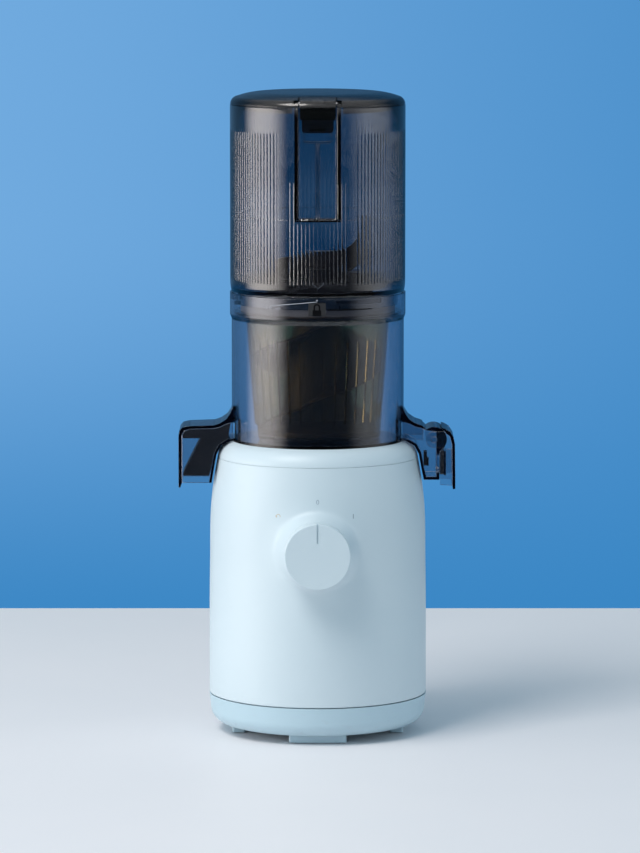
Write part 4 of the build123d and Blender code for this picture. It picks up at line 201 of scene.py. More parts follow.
def blue_room():
    """The wall as the camera sees it. Mirrored and see-through rays meet the wall behind the
    machine, near black in front of it and a pale ceiling above; other rays meet a plain fill.
    Each pair of numbers is where along a ray's direction one look begins to give way to the
    next, and where it has."""
    made = Finish("room", bpy.data.worlds.new("room"), "ShaderNodeOutputWorld")
    way = made.add("ShaderNodeTexCoord", out="Generated")
    sideways, ahead, height = [made.coordinate(way, letter) for letter in "XYZ"]
    direct, through, mirrored = made.ray("Camera"), made.ray("Transmission"), made.ray("Glossy")
    colour = made.blend(WALL_LEFT, WALL_RIGHT, sideways.step(*WALL_SIDES))
    colour = made.blend(WALL_LOW, colour, height.step(*WALL_HEIGHTS))
    wall = made.glow(colour, 1 - mirrored * (1 - through) * (1 - WALL_GLOSS))
    ceiling = made.glow(CEILING)
    dim = made.mixed(made.glow(NEAR_BLACK), wall, through * WALL_THROUGH)
    front = made.mixed(dim, ceiling, height.step(*CEILING_IN_FRONT))
    back = made.mixed(wall, ceiling, height.step(*CEILING_BEHIND))
    sharp = made.mixed(front, back, ahead.step(*ROOM_DEPTHS))
    soft = made.mixed(made.glow(FILL_BLUE), sharp, mirrored + through)
    return made.close(made.mixed(soft, wall, direct))


def lamp(name, place, aim, width, height, power, colour, fade=0.0):
    """A flat soft lamp that faces its aim. Its light fades at both sides over a share of its width."""
    light = bpy.data.lights.new(name, "AREA")
    light.shape = "RECTANGLE"
    light.size = width
    light.size_y = height
    light.energy = power
    light.color = colour
    if fade:
        cloth = Finish(name, light, "ShaderNodeOutputLight")
        across = cloth.coordinate(cloth.add("ShaderNodeNewGeometry", out="Parametric"), "X")
        level = across.step(0, fade) * (1 - across.step(1 - fade, 1))
        cloth.close(cloth.add("ShaderNodeEmission", {}, {"Color": (1, 1, 1), "Strength": level}))
    holder = put(name, light)
    holder.location = place
    holder.rotation_euler = (Vector(aim) - Vector(place)).to_track_quat("-Z", "Y").to_euler()


corners = [(x * TABLE_HALF, y * TABLE_HALF, -TABLE_DROP) for x, y in ((-1, -1), (1, -1), (1, 1), (-1, 1))]
table = put("table", plain_mesh("table", corners, [(0, 1, 2, 3)]))
table.data.materials.append(table_finish())
bpy.context.scene.world = blue_room()
lamp("key", (-1.1, -1.3, 2.4), (0, 0, 0.1), 1.2, 1.2, 48, (1, 0.955, 0.92))
lamp("panel", (-2.23, -0.56, 0.4), (0, 0, 0.4), 3.6, 1.3, 58, (1, 0.945, 0.915), PANEL_FADE)
lamp("side", (2.03, -0.4, 0.4), (0, 0, 0.4), 3.4, 1.3, 13, (0.94, 0.97, 1), PANEL_FADE)

lens = bpy.data.cameras.new("camera")
lens.sensor_width = 36
lens.lens = CAMERA_LENS
camera = put("camera", lens)
camera.location = CAMERA_PLACE
camera.rotation_euler = (math.radians(90 - CAMERA_DIP), 0, 0)
bpy.context.scene.camera = camera
bpy.context.scene.view_settings.view_transform = "Standard"


# ---------------------------------------------------------------- bottom cover and its screws
# The bowl that the machine stands on, with four moulded feet and cooling slots: satin pale
# blue moulded plastic, painted a little darker and bluer than the shell for the shade on the
# low bowl. Four screws from below hold it to the body shell.
SHELL_BLUE = linear(203, 217, 223)
SHELL_BLUE_DEEP = linear(198, 212, 219)
# The bowl's two tones are the shell's blue darkened and made bluer: painted shade of the low bowl.
SHADED_BOWL_BLUE = linear(183, 207, 217)
SHADED_BOWL_BLUE_DEEP = linear(178, 202, 213)
DARKER_SPOT_BLUE = linear(176, 190, 199)
LOW_PATCH_FULL = 4 * MM
LOW_PATCH_NONE = 40 * MM


def dress(finish, *names):
    """Gives CAD nodes a finish."""
    for name in names:
        nodes[name].data.materials.clear()
        nodes[name].data.materials.append(finish)


def satin_shell(name, tone, deep):
    """Fine spark-eroded texture, faint flow clouds, and darker, rougher patches towards the bottom."""
    made = Finish(name)
    cloud = made.noise(11, 3)
    speck = made.noise(700, 2)
    colour = made.blend(tone, deep, cloud)
    low = 1 - made.coordinate(made.place(), "Z").step(LOW_PATCH_FULL, LOW_PATCH_NONE)
    low_patch = made.noise(160, 4, 0.6, (1, 1, 2.5)).step(0.58, 0.7) * low
    colour = made.blend(colour, DARKER_SPOT_BLUE, low_patch * 0.3 + speck * 0.03)
    rough = 0.34 + cloud * 0.08 + speck * 0.06 + low_patch * 0.15
    normal = made.relief(made.noise(2400, 2), 0.01 * MM)
    return made.solid(Base_Color=colour, Roughness=rough, Normal=normal, IOR=1.48)


def turned_metal(name, colour, tarnish, rough, stretch=(30, 30, 900)):
    """Metal with fine tool marks: noise drawn out along the cut, and patches of tarnish."""
    made = Finish(name)
    marks = made.noise(1, 4, 0.7, stretch)
    patch = made.noise(220, 3)
    colour = made.blend(colour, tarnish, patch.step(0.35, 0.75))
    rough = rough + marks * 0.16 + patch * 0.1
    normal = made.relief(marks, 0.02 * MM)
    return made.solid(Base_Color=colour, Roughness=rough, Metallic=1.0, Normal=normal)


blue_shell = satin_shell("blue_shell", SHELL_BLUE, SHELL_BLUE_DEEP)
steel = turned_metal("steel", linear(205, 205, 206), linear(165, 163, 160), 0.22)
dress(satin_shell("blue_bowl_painted_shade", SHADED_BOWL_BLUE, SHADED_BOWL_BLUE_DEEP), "bottom_cover")
dress(steel, "bottom_screws", "deck_screws", "hanger_screws", "gearbox_screws")


# ---------------------------------------------------------------- foot pads and cord gland
# Grey-blue rubber: four strips pressed into the feet, and the flanged bush at the back that
# the cord passes through.
def soft_rubber(name, colour, bloom, rough):
    """Matt rubber with a dusty bloom and a fine moulded grain."""
    made = Finish(name)
    dust = made.noise(90, 4, 0.65)
    colour = made.blend(colour, bloom, dust.step(0.4, 0.8) * 0.5)
    normal = made.relief(made.noise(1500, 3), 0.03 * MM)
    return made.solid(Base_Color=colour, Roughness=rough + dust * 0.2, Normal=normal)


foot_rubber = soft_rubber("foot_rubber", linear(150, 168, 178), linear(176, 188, 195), 0.6)
dress(foot_rubber, "foot_pads", "cord_gland")


# ---------------------------------------------------------------- body shell
# A tapering tube in the same blue plastic. At the front it swells into the trumpet-shaped
# boss behind the dial, blended softly into the wall. A hole at the back takes the gland.
CREASE = math.radians(30)
SHELL_WALL = 2.5
SHELL_FOOT = 26.0
SHELL_TOP = 182.4
SHELL_POINTS = [(71.7, SHELL_FOOT), (71.2, 112.8), (70.2, 152.8), (68.7, 166.0), (66.0, SHELL_TOP)]
SHELL_EDGE = 0.4
PLAIN_ROWS = [SHELL_FOOT, 26.15, 26.4, 28, 70, 79, 172, 176, 179, 181, 181.9, 182.25, SHELL_TOP]
SIDE_COLUMNS = 40
DIAL_Z = 128.0
BOSS_CORE = 31
BLEND = 3.4
BLEND_RISE = (22.0, 24.6)
BLEND_FALL = (30, 38)
FLANK_R = [0, 21.0, 21.3, 21.6, 21.8, 21.9, 22.0, 22.4, 23, 24, 25, 26, 27, 28, 30, 34, 60]
FLANK_Y = [80.2, 80.2, 80.17, 80.05, 79.85, 79.6, 79.3, 78.2, 76.6, 74.1, 71.7, 69.4, 67.2, 65.1, 61,
           54, 10]
WINDOW = np.array([0, 7, 14, 19, 21, 21.3, 21.6, 21.8, 21.9, 22, 22.2, 22.6, 23.1, 23.7, 24.3, 25, 25.7,
                   26.4, 27.2, 28, 29, 30, 31.2, 32.6, 34, 36, 38, 40])
CORD_Z = 46.0
CORD_HALF = 6
CORD_CORE = 10
CORD_WINDOW = np.array([0, 3, CORD_HALF, 7.5, 9.5, 12, 15])


def curve_through(points, at):
    """Height of a smooth curve through points at some places: between each two points a cubic
    whose slope at a point is that of the line between its neighbours."""
    place, value = np.array(sorted(points)).T
    slope = np.gradient(value, place)
    part = np.clip(np.searchsorted(place, at, side="right") - 1, 0, len(place) - 2)
    width = place[part + 1] - place[part]
    t = (at - place[part]) / width
    start = value[part] * (1 + 2 * t) * (1 - t) ** 2 + slope[part] * width * t * (1 - t) ** 2
    return start + value[part + 1] * t**2 * (3 - 2 * t) + slope[part + 1] * width * t**2 * (t - 1)


def smooth(low, high, at):
    """0 below low, 1 above high, and three t squared less two t cubed between them."""
    t = np.clip((at - low) / (high - low), 0, 1)
    return t * t * (3 - 2 * t)


def shell_radius(z):
    """The round wall's outer radius at a height."""
    return curve_through([(height, radius) for radius, height in SHELL_POINTS], z)


def shell_front(x, z):
    """How far the front stands out: the round wall or the boss, whichever is more, and near
    where they meet half of their sum plus the root of their difference squared plus k squared."""
    wall = np.sqrt(np.maximum(shell_radius(z) ** 2 - x**2, 1))
    out = np.hypot(x, z - DIAL_Z)
    boss = np.interp(out, FLANK_R, FLANK_Y)
    k = BLEND * smooth(*BLEND_RISE, out) * (1 - smooth(*BLEND_FALL, out))
    return (wall + boss + np.sqrt((wall - boss) ** 2 + k**2)) / 2


def rounded_window(x, z, half, core):
    """Squares of points round a middle become circles inside core and stay squares at half:
    each point moves along its own ray to the distance of its square's side."""
    side = np.maximum(abs(x), abs(z))
    ray = np.maximum(np.hypot(x, z), 1e-9)
    share = 1 - smooth(core, half, side)
    pull = share * side / ray + (1 - share)
    return x * pull, z * pull


def both_ways(offsets):
    """Steps out from a middle, to both sides of it."""
    return np.concatenate([-offsets[:0:-1], offsets])


def skin(name, points, around=False, looped=False, keep=None, shut=False):
    """A mesh over a grid of points in millimetres, rows by columns, with a face between each
    four neighbours. around joins the last column to the first, looped the last row to the first."""
    rows, columns = points.shape[:2]
    index = np.arange(rows * columns).reshape(rows, columns)
    if around:
        index = np.hstack([index, index[:, :1]])
    if looped:
        index = np.vstack([index, index[:1]])
    faces = np.stack([index[:-1, :-1], index[:-1, 1:], index[1:, 1:], index[1:, :-1]], -1).reshape(-1, 4)
    if keep is not None:
        faces = faces[keep.ravel()]
    mesh = bpy.data.meshes.new(name)
    mesh.vertices.add(rows * columns)
    mesh.vertices.foreach_set("co", (points * MM).astype(np.float32).ravel())
    mesh.loops.add(faces.size)
    mesh.loops.foreach_set("vertex_index", faces.astype(np.int32).ravel())
    mesh.polygons.add(len(faces))
    mesh.polygons.foreach_set("loop_start", np.arange(0, faces.size, 4, dtype=np.int32))
    mesh.update(calc_edges=True)
    return tidied(mesh, shut)


def tidied(mesh, shut=True):
    """Merges doubled points, drops loose ones, turns a closed skin's faces outwards and smooths
    it up to a crease."""
    form = bmesh.new()
    form.from_mesh(mesh)
    bmesh.ops.remove_doubles(form, verts=form.verts, dist=1e-7)
    bmesh.ops.delete(form, geom=[v for v in form.verts if not v.link_faces], context="VERTS")
    if shut:
        bmesh.ops.recalc_face_normals(form, faces=form.faces)
    form.to_mesh(mesh)
    form.free()
    mesh.polygons.foreach_set("use_smooth", np.ones(len(mesh.polygons), bool))
    mesh.set_sharp_from_angle(angle=CREASE)
    return mesh


def piece(name, mesh, finish, body, slot, *replaced):
    """A new piece of the machine, riding on a body in place of CAD nodes."""
    thing = put(name, mesh)
    mesh.materials.append(finish)
    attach(thing, body)
    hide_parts(*replaced)
    return thing


def shell_grid():
    """Rows of heights by columns round the wall: the front window in steps across, a plain
    quarter of the wall on each side, and the back window round the cord's hole."""
    front, back = both_ways(WINDOW), both_ways(CORD_WINDOW)
    rows = np.unique(np.concatenate([DIAL_Z + front, CORD_Z + back, PLAIN_ROWS]))
    z = np.repeat(rows[:, None], len(front), axis=1)
    x = np.repeat(front[None], len(rows), axis=0)
    x, high = rounded_window(x, z - DIAL_Z, WINDOW[-1], BOSS_CORE)
    front_points = np.stack([x, -shell_front(x, high + DIAL_Z), high + DIAL_Z], -1)
    z = np.repeat(rows[:, None], len(back), axis=1)
    x = np.repeat(-back[None], len(rows), axis=0)
    x, high = rounded_window(x, z - CORD_Z, CORD_WINDOW[-1], CORD_CORE)
    back_points = np.stack([x, np.sqrt(shell_radius(high + CORD_Z) ** 2 - x**2), high + CORD_Z], -1)
    radius = shell_radius(rows)[:, None]
    low, high = np.arcsin(WINDOW[-1] / radius), np.pi - np.arcsin(CORD_WINDOW[-1] / radius)
    turn = low + (high - low) * np.linspace(0, 1, SIDE_COLUMNS + 2)[None, 1:-1]
    side = [radius * np.sin(turn), -radius * np.cos(turn), np.repeat(rows[:, None], turn.shape[1], axis=1)]
    right = np.stack(side, -1)
    left = right[:, ::-1] * (-1, 1, 1)
    points = np.concatenate([front_points, right, back_points, left], axis=1)
    hole_rows = abs((rows[1:] + rows[:-1]) / 2 - CORD_Z) < CORD_HALF
    back_start = len(front) + right.shape[1]
    hole_columns = np.zeros(points.shape[1], bool)
    over_hole = abs((back[1:] + back[:-1]) / 2) < CORD_HALF
    hole_columns[back_start:back_start + len(over_hole)] = over_hole
    return points, ~(hole_rows[:, None] & hole_columns[None])


def eased_edges(points, low, high, drop):
    """The edges at both ends of the wall are rounded: the radius shrinks there by the drop
    times one less the root of one less the share of the way to the edge, squared."""
    z = points[..., 2]
    near = np.maximum(1 - (z - low) / drop, 1 - (high - z) / drop)
    shrink = drop * (1 - np.sqrt(1 - np.clip(near, 0, 1) ** 2))
    out = np.hypot(points[..., 0], points[..., 1])
    return points * np.stack([1 - shrink / out, 1 - shrink / out, np.ones_like(z)], -1)


points, kept = shell_grid()
points = eased_edges(points, SHELL_FOOT, SHELL_TOP, SHELL_EDGE)
shell = piece("body_wall", skin("body_wall", points, around=True, keep=kept), blue_shell, "base",
              "blue_shell", "body_shell")
thicken = shell.modifiers.new("wall", "SOLIDIFY")
thicken.thickness = SHELL_WALL * MM
thicken.offset = -1


# ---------------------------------------------------------------- dial marks
# Three marks pad-printed on the shell round the dial: a back-turned arrow, a nought and a one.
MARK_R = 32.6
MARK_SIZE = 4.3
MARK_TURN = math.radians(45)
MARK_HIGH = DIAL_Z + MARK_R * math.cos(MARK_TURN)
SIGN_STAND = 0.03
ARROW_STAND = 0.06
ARROW_R = 1.25
ARROW_START = -20
ARROW_SWEEP = 250
ARROW_HALF = 0.22
HEAD_HALF = 0.75
HEAD_START = 0.72
ARROW_LEFT = 2.5
INK_PALE = linear(190, 180, 160)
INK_GREY = linear(150, 165, 178)
INK_DEEP = linear(112, 128, 142)


def ink(name, colour):
    """Thin print, slightly broken up."""
    made = Finish(name)
    worn = made.noise(2600, 3, 0.7)
    return made.solid(Base_Color=made.blend(colour, SHELL_BLUE, worn.step(0.5, 0.8) * 0.5), Roughness=0.5)


def closed_ends(points):
    """A grid with its first and last column each closed by a column of points at its middle."""
    tail, tip = [np.repeat(end.mean(axis=0, keepdims=True), len(points), axis=0)
                 for end in (points[:, :1], points[:, -1:])]
    return np.concatenate([tail, points, tip], axis=1)


def printed(figure, middle_x, middle_z, stand):
    """A figure's flat outline, laid on the front of the shell: each point stands off it by stand."""
    text = bpy.data.curves.new("sign", "FONT")
    text.body = figure
    text.size = MARK_SIZE
    text.align_x = "CENTER"
    text.align_y = "CENTER"
    text.extrude = stand
    text.resolution_u = 6
    holder = put("sign", text)
    bpy.context.view_layer.update()
    mesh = bpy.data.meshes.new_from_object(holder.evaluated_get(bpy.context.evaluated_depsgraph_get()))
    bpy.data.objects.remove(holder)
    flat = np.zeros(len(mesh.vertices) * 3)
    mesh.vertices.foreach_get("co", flat)
    across, up, out = flat.reshape(-1, 3).T
    x, z = middle_x + across, middle_z + up
    y = -shell_front(x, z) - stand - out
    mesh.vertices.foreach_set("co", (np.stack([x, y, z], -1) * MM).ravel())
    return tidied(mesh)


def back_arrow(stand):
    """A flat arrow turned back on itself, left of the dial: a stretch of a ring that is even in
    width up to the head, and then wide and narrowing to a point."""
    along = np.linspace(0, 1, 40)
    turn = np.radians(ARROW_START + ARROW_SWEEP * along)
    half = np.where(along < HEAD_START, ARROW_HALF, HEAD_HALF * (1 - along) / (1 - HEAD_START))
    radius = ARROW_R + np.stack([-half, half, half, -half])
    out = np.array([0.0, 0.0, 1.0, 1.0])[:, None] * stand + 0.01
    x = -MARK_R * math.sin(MARK_TURN) - ARROW_LEFT + radius * np.cos(turn)
    z = MARK_HIGH + radius * np.sin(turn)
    points = closed_ends(np.stack([x, -shell_front(x, z) - out, z], -1))
    return skin("back_arrow", points, looped=True, shut=True)


nought = printed("0", 0, DIAL_Z + MARK_R, SIGN_STAND)
one = printed("1", MARK_R * math.sin(MARK_TURN), MARK_HIGH, SIGN_STAND)
piece("dial_mark_1", back_arrow(ARROW_STAND), ink("print_pale", INK_PALE), "base", "blue_shell")
piece("dial_mark_2", nought, ink("print_grey", INK_GREY), "base", "blue_shell")
piece("dial_mark_3", one, ink("print_deep", INK_DEEP), "base", "blue_shell")


# ---------------------------------------------------------------- top deck and dial
# The rounded shoulder ring with the round recess that the drum stands in, and the dial
# knob, a hollow disc with a pointer groove. Both are the shell's blue plastic.
dress(blue_shell, "top_deck", "knob")


# ---------------------------------------------------------------- motor, gearbox and electrics
# Out of sight inside the base: a geared motor hung under the deck on rubber dampers, the
# rotary switch behind the dial, the control board on the bowl's standoffs. The black rubber
# also makes the drum's seals, the chute and the stopper.
def moulded(name, colour, mottle, rough, grain=0.02):
    """Plain moulded resin with a mottled tone and a fine grain."""
    made = Finish(name)
    cloud = made.noise(60, 4, 0.6)
    colour = made.blend(colour, mottle, cloud)
    normal = made.relief(made.noise(1800, 2), grain * MM)
    return made.solid(Base_Color=colour, Roughness=rough + cloud * 0.12, Normal=normal)


def wound_copper():
    """Enamelled wire laid in close turns: a fine wave round the coil."""
    made = Finish("copper")
    settings = {"wave_type": "BANDS", "bands_direction": "Z"}
    sockets = {"Vector": made.place(), "Scale": 320.0, "Distortion": 1.5}
    turns = made.add("ShaderNodeTexWave", settings, sockets)
    colour = made.blend(linear(150, 78, 38), linear(196, 112, 62), turns)
    normal = made.relief(turns, 0.15 * MM)
    return made.solid(Base_Color=colour, Roughness=0.3 + turns * 0.15, Metallic=0.8, Normal=normal)


def printed_board():
    """Green laminate with lighter copper tracks under the lacquer."""
    made = Finish("board")
    sockets = {"Vector": made.place(), "Scale": 260.0}
    edge = made.add("ShaderNodeTexVoronoi", {"feature": "DISTANCE_TO_EDGE"}, sockets)
    track = 1 - edge.step(0.02, 0.08)
    colour = made.blend(linear(24, 92, 52), linear(58, 132, 84), track)
    return made.solid(Base_Color=colour, Roughness=0.3 + track * 0.1, Normal=made.relief(track, 0.04 * MM))


black_rubber = soft_rubber("black_rubber", linear(24, 24, 26), linear(52, 52, 55), 0.42)
dress(turned_metal("plated_steel", linear(190, 193, 196), linear(160, 162, 160), 0.34, (60, 60, 60)),
      "motor_can")
dress(turned_metal("bearing_steel", linear(212, 212, 214), linear(190, 190, 190), 0.12),
      "motor_bearings", "output_bearing")
dress(turned_metal("core_steel", linear(112, 112, 116), linear(82, 80, 80), 0.4, (20, 20, 2000)),
      "stator_core", "rotor_core")
dress(turned_metal("cast_alloy", linear(168, 170, 173), linear(146, 147, 148), 0.46, (500, 500, 500)),
      "gearbox_housing", "gearbox_cover", "planet_carrier")
dress(steel, "sun_gear", "planet_pins", "output_spindle", "rotor_shaft", "switch_shaft", "lid_hinge_pin",
      "latch_pin", "latch_spring")
dress(moulded("gear_resin", linear(226, 223, 212), linear(214, 210, 196), 0.36),
      "ring_gear", "planet_gear_1", "planet_gear_2", "planet_gear_3")
dress(moulded("magnet", linear(52, 52, 56), linear(66, 66, 70), 0.5, 0.05), "rotor_magnets", "drum_magnet")
dress(wound_copper(), "stator_windings")
dress(printed_board(), "circuit_board")
dress(moulded("black_resin", linear(30, 30, 31), linear(44, 44, 45), 0.42),
      "motor_fan", "capacitor", "rotary_switch", "interlock_switch", "gland_nut")
dress(black_rubber, "gearbox_dampers", "spindle_seal", "drum_seal", "pulp_chute", "outlet_stopper",
      "juice_cap_seal")


# ---------------------------------------------------------------- drum and juice cap
# The round tube that stands in the deck, moulded in one with its rim and both spouts, and the
# cap that swings over the juice spout: clear smoke-grey plastic, polished.
def clear_smoke(name, dim, rough, index=1.5, coat=0.0, soft_edge=0.0):
    """Clear plastic that dims what crosses it, in each colour by a number to the metre: thin walls
    stay clear, and edges seen along their depth go dark. Its polish has faint smears and hairline
    scratches. Lamps shine straight through, so that what stands inside is lit."""
    made = Finish(name)
    smear = made.noise(34, 4, 0.6)
    hair = made.noise(1, 3, 0.7, (700, 700, 36)).step(0.6, 0.74)
    colour = made.blend((1, 1, 1), (0.9, 0.9, 0.92), smear.step(0.45, 0.9))
    edge = made.add("ShaderNodeBevel", {"samples": 4}, {"Radius": soft_edge}) if soft_edge else None
    clear = made.principled(
        Base_Color=colour, Roughness=rough + smear.step(0.5, 0.85) * 0.03 + hair * 0.03,
        Normal=made.relief(hair, 0.002 * MM, edge), IOR=index, Transmission_Weight=1.0,
        Coat_Weight=coat, Coat_Roughness=0.04,
    )
    lit = made.add("ShaderNodeBsdfTransparent", {}, {"Color": (0.96, 0.96, 0.96)})
    most = max(dim) * 1.05
    tint = {"Color": [1 - k / most for k in dim], "Density": most}
    depth = made.add("ShaderNodeVolumeAbsorption", {}, tint)
    return made.close(made.mixed(clear, lit, made.ray("Shadow")), Volume=depth)


dress(clear_smoke("smoke_drum", (190, 178, 152), 0.02, soft_edge=0.6 * MM), "drum", "cap_pivots",
      "juice_cap")


# ---------------------------------------------------------------- strainer, auger and cutting wing
# The strainer is a slotted cone in smoky amber plastic. The auger with its two flights and
# the wing that cuts and draws in the fruit are dark glass-filled resin.
dress(clear_smoke("amber_clear", (230, 330, 620), 0.14), "strainer")
dress(moulded("dark_resin", linear(38, 33, 30), linear(54, 46, 41), 0.3), "auger", "cutting_wing")


# ---------------------------------------------------------------- hopper
# The tall cup over the drum, moulded in clear smoke plastic: fluted outside, with a pocket at
# the front for the lid's latch, an open floor, and a collar with three bayonet lugs below.
HOPPER_R = 57.5
HOPPER_INNER = 55.0
HOPPER_FOOT = 292.0
HOPPER_TOP = 414.4
STEP_LOW = 391.3
STEP_HIGH = 391.8
STEP_IN = 0.25
POCKET_HALF = 12.3
POCKET_BACK = -41.5
POCKET_FLOOR = 343.4
POCKET_WALL = 2.3
POCKET_LIP = 1.0
POCKET_LIP_INSIDE = 0.3
POCKET_BEND = 1.2
FLOOR_TOP = 294.5
FLOOR_HOLE = 47.2
COLLAR_R = 52.9
COLLAR_INNER = 50.7
COLLAR_FOOT = 283.8
LUG_R = 55.1
LUG_TOP = 286.5
LUG_HALF = 15
FLUTES = 136
FLUTE_DEPTH = 0.22
FLUTE_FOOT = 299.4
FLUTE_TOP = 398.6
FLUTE_TOP_BY_POCKET = 367.0
FLUTE_TOP_UNDER_POCKET = 340.6
FLUTE_FADE = 1.3
FLUTE_MIDDLES = [320, 380]
FOLD_ROW = 342.6
UNDER_POCKET = 13.3
BESIDE_POCKET = 18.6
PLAIN_STRIP = 26.5
FOOT_TAPER = 0.8
EASE = 0.4
EASE_PART = 0.12
EASE_STEP = 0.1
FLOOR_ROUNDING = 1.5
COLUMNS = FLUTES * 8
TURN = (np.arange(COLUMNS) - COLUMNS // 2) * 2 * np.pi / COLUMNS


def ring(radius, z):
    """A level circle of points: its radius may differ from column to column."""
    return np.stack([radius * np.sin(TURN), -radius * np.cos(TURN), np.full(COLUMNS, float(z))], -1)


def flute_depth(z):
    """How far in the wall stands at a height, per column: each flute is nearly flat across, by
    the fourth power, with a narrow groove where it meets the next, and fades out at both ends.
    A plain strip runs down on each side of the pocket, and the flutes beside and under the
    pocket end lower."""
    pitch = 2 * np.pi / FLUTES
    across = TURN / pitch - np.floor(TURN / pitch)
    middle = abs((np.floor(TURN / pitch) + 0.5) * pitch) * 180 / np.pi
    top = np.select([middle < UNDER_POCKET, middle < BESIDE_POCKET, middle < PLAIN_STRIP],
                    [FLUTE_TOP_UNDER_POCKET, FLUTE_TOP_BY_POCKET, 0], FLUTE_TOP)
    length = smooth(FLUTE_FOOT, FLUTE_FOOT + FLUTE_FADE, z) * (1 - smooth(top - FLUTE_FADE, top, z))
    return FLUTE_DEPTH * (2 * across - 1) ** 4 * length


def pocket_line(half, back, front, count, lip):
    """Half of the pocket's outline seen from above, in so many points: the back wall from its
    middle, a quarter circle, the side wall, and a small quarter circle out to the round wall."""
    bend, steps = POCKET_BEND, 12
    quarter = np.radians(np.linspace(0, 90, 7))
    corner = np.stack([half - bend + bend * np.sin(quarter), back - bend + bend * np.cos(quarter)], -1)
    edge = np.stack([half + lip - lip * np.cos(quarter[1:]), front + lip - lip * np.sin(quarter[1:])], -1)
    side = np.stack([np.full(steps, half), np.linspace(back - bend, front + lip, steps + 1)[1:]], -1)
    left = count - len(corner) - len(edge) - len(side)
    flat = np.stack([np.linspace(0, half - bend, left + 1)[:-1], np.full(left, back)], -1)
    return np.concatenate([flat, corner, side, edge])


def notched(circle, half, back, lip):
    """A circle whose front columns go round the pocket instead."""
    width = half + lip
    right = np.flatnonzero((circle[:, 0] >= -1e-6) & (circle[:, 0] <= width) & (circle[:, 1] < 0))
    front = -math.sqrt(np.hypot(*circle[right[-1], :2]) ** 2 - width**2)
    line = pocket_line(half, back, front, len(right), lip)
    row = circle.copy()
    row[right, :2] = line
    row[2 * right[0] - right, :2] = line * (-1, 1)
    return row


def hopper_rows():
    """The cup's section, followed once round from the foot: up the fluted outside, which leans
    in at the foot by a share squared and is rounded off in front of the pocket's floor, over
    the rim, down the inside with its small step, in to the floor's hole, and down and up the
    collar. Each sharp edge is eased in two steps."""
    low = np.array([0, EASE_STEP, EASE, 1, 2, 3, 4, 5, 6, 7])
    inset = FOOT_TAPER * (1 - low / low[-1]) ** 2 + EASE * (low == 0) + EASE_PART * (low == EASE_STEP)
    rows = [ring(HOPPER_R - inward, HOPPER_FOOT + up) for up, inward in zip(low, inset)]
    fades = [np.linspace(-FLUTE_FADE, 0, 6) + top for top in
             (FLUTE_FOOT + FLUTE_FADE, FLUTE_TOP_UNDER_POCKET, FLUTE_TOP_BY_POCKET, FLUTE_TOP)]
    # The last of these rows is 0.7 mm above the first of the rounding, so the wall doubles back
    # on itself between the two. It shows as a faint level line beside the pocket's foot.
    low = np.concatenate([fades[0], FLUTE_MIDDLES[:1], fades[1], [FOLD_ROW]])
    rows += [ring(HOPPER_R - flute_depth(z), z) for z in low]
    in_front = 1 - smooth(POCKET_HALF - FLOOR_ROUNDING, POCKET_HALF, abs(TURN) * HOPPER_R)
    rounding = [(FLOOR_ROUNDING, 0), (1, 0.09), (0.6, 0.27), (0.3, 0.6), (0.1, 1), (0, FLOOR_ROUNDING)]
    for down, inset in rounding:
        z = POCKET_FLOOR - down
        rows.append(ring(HOPPER_R - np.maximum(flute_depth(z), inset * in_front), z))
    high = np.concatenate([[POCKET_FLOOR, 346], fades[2], FLUTE_MIDDLES[1:], fades[3],
                           [406, HOPPER_TOP - EASE]])
    for z in high:
        rows.append(notched(ring(HOPPER_R - flute_depth(z), z), POCKET_HALF, POCKET_BACK, POCKET_LIP))
    for down, inset in ((EASE_STEP, EASE_PART), (0, EASE)):
        circle = ring(HOPPER_R - inset, HOPPER_TOP - down)
        rows.append(notched(circle, POCKET_HALF + inset, POCKET_BACK + inset, POCKET_LIP))
    half, back = POCKET_HALF + POCKET_WALL, POCKET_BACK + POCKET_WALL
    stepped, under = HOPPER_INNER - STEP_IN, POCKET_FLOOR - POCKET_WALL
    inside = [(HOPPER_TOP, HOPPER_INNER, EASE), (HOPPER_TOP - EASE_STEP, HOPPER_INNER, EASE_PART),
              (HOPPER_TOP - EASE, HOPPER_INNER, 0), (STEP_HIGH, HOPPER_INNER, 0), (STEP_LOW, stepped, 0),
              (350, stepped, 0), (under, stepped, 0)]
    for z, radius, inset in inside:
        rows.append(notched(ring(radius + inset, z), half - inset, back - inset, POCKET_LIP_INSIDE))
    section = [(stepped, under), (stepped, FLOOR_TOP + 1),
               (HOPPER_INNER - 0.5, FLOOR_TOP + 0.3), (HOPPER_INNER - 1.2, FLOOR_TOP),
               (FLOOR_HOLE + EASE, FLOOR_TOP), (FLOOR_HOLE, FLOOR_TOP - EASE),
               (FLOOR_HOLE, HOPPER_FOOT + 0.3), (FLOOR_HOLE + 0.3, HOPPER_FOOT),
               (COLLAR_INNER, HOPPER_FOOT), (COLLAR_INNER, COLLAR_FOOT + 0.3),
               (COLLAR_INNER + 0.3, COLLAR_FOOT)]
    rows += [ring(radius, z) for radius, z in section]
    on_lug = abs((np.degrees(TURN) + 30) % 120 - 60) < LUG_HALF
    lug = np.where(on_lug, LUG_R, COLLAR_R)
    rows += [ring(lug - 0.3, COLLAR_FOOT), ring(lug, COLLAR_FOOT + 0.3), ring(lug, LUG_TOP - 0.2),
             ring(np.maximum(lug - 0.2, COLLAR_R), LUG_TOP), ring(COLLAR_R, LUG_TOP),
             ring(COLLAR_R, HOPPER_FOOT - EASE), ring(COLLAR_R + EASE, HOPPER_FOOT)]
    return np.stack(rows)


smoke_hopper = clear_smoke("smoke_hopper", (375, 350, 312), 0.02, 1.58, 0.8)
piece("fluted_cup", skin("fluted_cup", hopper_rows(), around=True, looped=True, shut=True), smoke_hopper,
      "hopper", "smoke_clear", "hopper")


